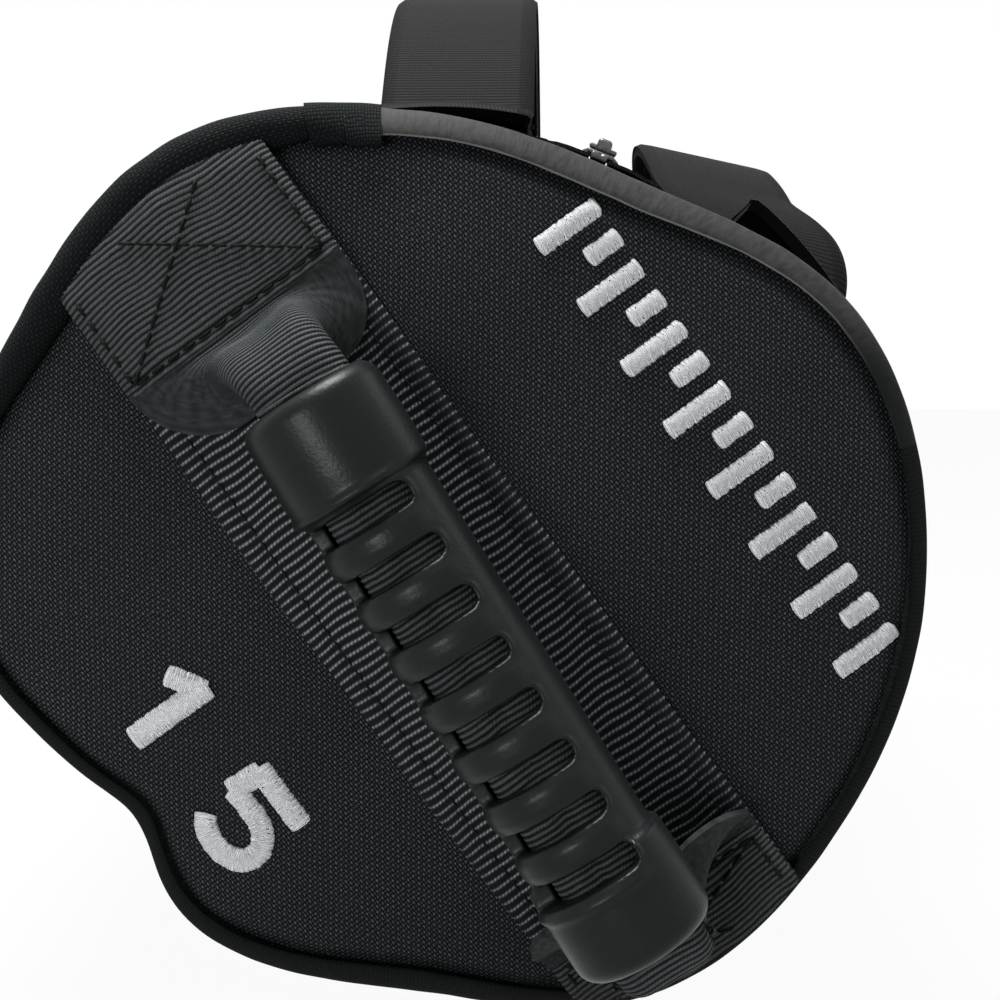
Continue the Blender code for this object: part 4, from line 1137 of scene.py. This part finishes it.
# Zipper
# A coil zipper lies along the top right of the bag, where the pouches go in. Its woven tapes are
# topstitched to the shell; plated stops end the nylon coil, and a plated slider carries a long pull.
CHAIN_END = ZIP_HALF - 0.0043
SLIDER_PLACE = 0.018 - ZIP_HALF
TAPE_INNER, TAPE_OUTER, TAPE_STITCH = 0.0023, 0.0158, 0.012
TOOTH_PITCH = 0.00125
zip_foot = on_skin(np.array(ZIP_ANGLE), np.array(SLIDER_PLACE))
zip_place = Matrix([[cos(ZIP_ANGLE), 0, sin(ZIP_ANGLE), zip_foot[0]], [0, 1, 0, 0],
                    [-sin(ZIP_ANGLE), 0, cos(ZIP_ANGLE), zip_foot[2]], [0, 0, 0, 1]])
zip_tape = woven_cloth("zipper_tape", 0.0007, (0.005, 0.006, 0.007), (0.045, 0.05, 0.051))
for word, direction in (("left", -1), ("right", 1)):
    ys, spreads = grid(np.linspace(-ZIP_HALF, ZIP_HALF, 200), np.concatenate(
        [[TAPE_INNER, 0.0024, 0.0027], np.linspace(0.0034, 0.015, 14), [0.0155, TAPE_OUTER]]))
    lift = 0.0015 - 0.0004 * (1 - ease(np.minimum(spreads - TAPE_INNER, TAPE_OUTER - spreads) / 0.0006))
    lift = lift + 0.00018 * np.sin(ys / 0.0065) * ease((spreads - 0.004) / 0.004)
    lift = lift - 0.0003 * dip(spreads - TAPE_STITCH, 0.0006)
    spreads = spreads * direction
    cloth_piece(f"zipper_{word}_woven_tape", on_skin(ZIP_ANGLE + spreads / BAG_RADIUS, ys, lift),
                stack(ys, spreads), 0.0008, zip_tape, "zipper_tape", f"zipper_{word}_tape",
                turn_over=direction < 0)
    y = np.linspace(-ZIP_HALF + 0.002, ZIP_HALF - 0.002, 120)
    turn = np.full_like(y, ZIP_ANGLE + direction * TAPE_STITCH / BAG_RADIUS)
    stitch_row(f"zipper_{word}_stitches", on_skin(turn, y, 0.0014), out_of_bag(turn), "zipper_tape",
               pitch=0.0036)

coil_nylon, coil_shader, coil_place = start_material("coil_nylon", Specular_IOR_Level=0.45)
coil_cloud = coil_place.speckle(700)
paint(coil_shader, coil_cloud.blend((0.01, 0.011, 0.012), (0.03, 0.033, 0.034)), coil_cloud * 0.2 + 0.35)
coil_rows = []
for direction in (-1, 1):
    first = -CHAIN_END + 0.0009 + (TOOTH_PITCH / 2 if direction > 0 else 0)
    tooth = add_block("zipper_coil", (direction * 0.00085, first, 0.0013), (0.0021, 0.00062, 0.0018),
                      0.00026, 2)
    chain = tooth.modifiers.new("chain", "ARRAY")
    chain.use_relative_offset, chain.use_constant_offset = False, True
    chain.constant_offset_displace = (0, TOOTH_PITCH, 0)
    chain.count = int((2 * CHAIN_END - 0.002) / TOOTH_PITCH)
    apply_all(tooth)
    coil_rows.append(tooth)
coil = join_up(coil_rows)
coil.data.transform(zip_place)
coil.data.shade_smooth()
declare(coil, coil_nylon, "zipper_tape", "zipper_chain")

plated, plated_shader, plated_place = start_material("plated_metal", Metallic=1.0)
plate_wear = plated_place.speckle(420, 4)
paint(plated_shader, plate_wear.blend((0.045, 0.046, 0.048), (0.16, 0.16, 0.165)), plate_wear * 0.25 + 0.24,
      plate_wear, 0.00003)


def place_metal(piece, node, body="bag"):
    piece.data.transform(zip_place)
    piece.data.shade_smooth()
    declare(piece, plated, "zipper_metal", node, body)


for word, side in ENDS:
    y = side * (ZIP_HALF - 0.002)
    stop = add_block(f"zipper_{word}_staple", (0, y, 0.0014), (0.004, 0.0036, 0.0021), 0.0006)
    combine(stop, add_block("fold_line", (0, y, 0.003), (0.0008, 0.006, 0.002)))
    place_metal(stop, f"zipper_{word}_stop")

plate = add_block("zipper_runner", (0, SLIDER_PLACE, 0.0034), (0.0095, 0.012, 0.0012), 0.0004)
for vertex in plate.data.vertices:
    ahead = ease((SLIDER_PLACE + 0.001 - vertex.co.y) / 0.007)
    vertex.co.x *= 1 - 0.3 * ahead
    vertex.co.z -= 0.0002 * ahead
bridge = add_block("bridge", (0, SLIDER_PLACE, 0.0056), (0.0036, 0.006, 0.0036), 0.0009)
combine(bridge, add_block("eye", (0, SLIDER_PLACE, 0.005), (0.008, 0.004, 0.0028)))
combine(plate, bridge, "UNION")
place_metal(plate, "zipper_slider", "slider")

PIN_HEIGHT = 0.0051
tag = add_block("zipper_tag", (0, SLIDER_PLACE + 0.01155, PIN_HEIGHT), (0.007, 0.0249, 0.0012), 0.0004)
for vertex in tag.data.vertices:
    along = vertex.co.y - SLIDER_PLACE
    vertex.co.x *= 1 - 0.3 * ease((along - 0.019) / 0.005)
    vertex.co.z += 0.0002 * sin(along / 0.024 * pi)
for middle, *size in ((0.00345, 0.0046, 0.0051, 0.004), (0.0185, 0.0026, 0.0045, 0.004)):
    combine(tag, add_block("hole", (0, SLIDER_PLACE + middle, PIN_HEIGHT), size, 0.0008, 4))
place_metal(tag, "zipper_pull", "pull")

# Sand pouches
# Three sealed pouches of coated polyester lie end to end in the bag, each about five kilos of dry
# sand. Their ends are pleated, and a rolled hook-and-loop closure lies along the top of each.
POUCH_RADIUS = BAG_RADIUS - 0.019
POUCH_ROUND = 0.034
POUCH_REACH = 0.2277
POUCH_GAP = 0.0003
POUCH_LENGTH = (2 * POUCH_REACH - 2 * POUCH_GAP) / 3
pouch_cloth = woven_cloth("pouch_cloth", 0.0008, (0.01, 0.012, 0.013), (0.07, 0.075, 0.075), roughness=0.6)
for number, word in enumerate(("front", "middle", "back")):
    rest = 0.0023 if word == "middle" else 0.0044
    axis = rest + POUCH_RADIUS - 0.004
    low = -POUCH_REACH + number * (POUCH_LENGTH + POUCH_GAP)
    place = np.concatenate([[0, 0.0008, 0.0025], np.linspace(0.005, POUCH_LENGTH - 0.005, 90),
                            [POUCH_LENGTH - 0.0025, POUCH_LENGTH - 0.0008, POUCH_LENGTH]])
    places, angles = grid(place, np.linspace(0, TURN, 145))
    inward = np.minimum(places, POUCH_LENGTH - places)
    bend = np.sqrt(np.maximum(0, 1 - (1 - np.minimum(inward / POUCH_ROUND, 1)) ** 2))
    size = POUCH_RADIUS - POUCH_ROUND * (1 - bend)
    ys = low + places
    where = stack(np.sin(angles), ys / POUCH_RADIUS, np.cos(angles))
    pleats = 0.5 + 0.5 * np.sin(angles * 23 + 2 * np.sin(angles * 5))
    if word == "front":
        size = size - BAG_RADIUS * front_dent(angles + 0.08) * dent_run(ys)
    size = size - 0.0011 * pleats * np.exp(-inward / 0.02) - 0.0016 * dimples(where, 2.3, 1.7 + number, 1.0)
    size = size - 0.0006 * dimples(where, 8.0, 6.1 + number, 1.0)
    pouch = cloth_piece(f"{word}_sealed_pouch", round_axis(size, angles, ys, rest, axis),
                        stack(ys, angles * POUCH_RADIUS), 0, pouch_cloth, "pouch_cloth",
                        f"{word}_sand_pouch", steps=(join_doubles, fill_holes, face_outwards))

    middle = low + POUCH_LENGTH / 2
    ys, turns = grid(np.linspace(middle - 0.035, middle + 0.035, 60), np.linspace(0, TURN, 33))
    across = 0.015 * squared(np.cos(turns), 0.5)
    lift = 0.0018 + 0.0015 * squared(np.sin(turns), 0.6)
    lift = lift - 0.0003 * (0.5 + 0.5 * np.sin(ys / 0.004)) * (np.sin(turns) > 0)
    points = round_axis(POUCH_RADIUS + lift, across / POUCH_RADIUS, ys, 0, axis)
    cloth_piece(f"{word}_rolled_closure", points, stack(ys, across), 0, pouch_cloth, "pouch_cloth",
                f"{word}_pouch_closure", steps=(join_doubles, fill_holes, face_outwards))

# Embroidery
# The panel carries satin-stitched marks in off-white thread: a plain number at the lower left, and a
# row of long and short scale bars along the strip. Each stroke is a crowned bed of threads laid across it.
THREAD = 0.00036
thread_white, white_shader, white_place = start_material("thread_white", Specular_IOR_Level=0.5,
                                                         Sheen_Weight=0.2)
white_chart = white_place.cloth()
# Each thread's crown is painted light and the gap between threads is painted dark as shade, with speckle for
# the thread's own tone.
strand = abs((white_chart.split()[0] * (pi / THREAD) + white_chart.speckle(900, 2) * 2.5).sine())
strand_speckle_and_painted_shade = strand * 0.55 + white_chart.speckle(1500) * 0.45
paint(white_shader, strand_speckle_and_painted_shade.blend((0.3, 0.315, 0.32), (0.8, 0.82, 0.83)), 0.62 - strand * 0.2,
      strand, 0.00018)


def satin_stroke(name, width, *path):
    """One satin stroke on the front panel along a path of (u, v) places, its threads lying across it."""
    path = np.asarray(path, float)
    run = run_of(path)
    even = np.arange(0, run[-1], 0.00012)
    places = read_at(path, run, even)
    line = np.gradient(places, axis=0)
    for _ in range(8):
        line[1:-1] = (line[:-2] + line[1:-1] * 2 + line[2:]) / 4
    line /= np.linalg.norm(line, axis=1)[:, None]
    spread = np.sin(np.linspace(-pi / 2, pi / 2, 11))
    seeds = np.random.default_rng(len(name) * 31 + int(run[-1] * 1e5))
    thread = (even / THREAD).astype(int)
    jitter = seeds.uniform(-1, 1, (thread.max() + 2, 2))[thread] * 0.00016
    reach = spread * (width / 2 + np.where(spread < 0, jitter[:, :1], jitter[:, 1:]))
    beads = 0.00011 * abs(np.sin(even / THREAD * pi))[:, None] * (1 - spread ** 4)
    lift = 0.00075 * np.sqrt(np.maximum(0, 1 - spread ** 2)) ** 0.8 + beads - 0.0001
    lift = lift * (0.35 + 0.65 * ease(np.minimum(even, run[-1] - even) / 0.0006))[:, None]
    u, v = places[:, :1] - line[:, 1:] * reach, places[:, 1:] + line[:, :1] * reach
    stroke = cloth_mesh(name, on_end(-1, u, v, panel_level(-1, u, v) + lift), stack(even[:, None], reach))
    add_wall(stroke, 0.0006)
    edit_mesh(stroke, face_outwards)
    stroke.data.shade_smooth()
    declare(stroke, thread_white, "bag_fabric")


for number in range(15):
    u, shift = -0.038 + number * 0.0072, -0.001 * number / 14
    low = 0.056 if number % 2 == 0 else 0.0625
    satin_stroke(f"front_scale_bar_{number}", 0.0028, (u, low + shift), (u, 0.0698 + shift))
one_u, five_u, low, high = -0.007, 0.012, -0.0655, -0.0465
satin_stroke("front_number_one", 0.004, (one_u, low), (one_u, high))
satin_stroke("front_number_one_flag", 0.0034, (one_u - 0.0064, high - 0.0054), (one_u + 0.0006, high - 0.001))
satin_stroke("front_number_five_top", 0.0036, (five_u + 0.014, high - 0.0016), (five_u, high - 0.0016))
satin_stroke("front_number_five_back", 0.0036, (five_u + 0.0008, high - 0.0016),
             (five_u + 0.0004, high - 0.009))
satin_stroke("front_number_five_bowl", 0.0036, (five_u + 0.0004, high - 0.0086),
             (five_u + 0.003, high - 0.008),
             *((five_u + 0.007 + 0.0068 * sin(t), low + 0.0058 + 0.0052 * cos(t))
               for t in np.linspace(-0.2, pi + 1.0, 30)))
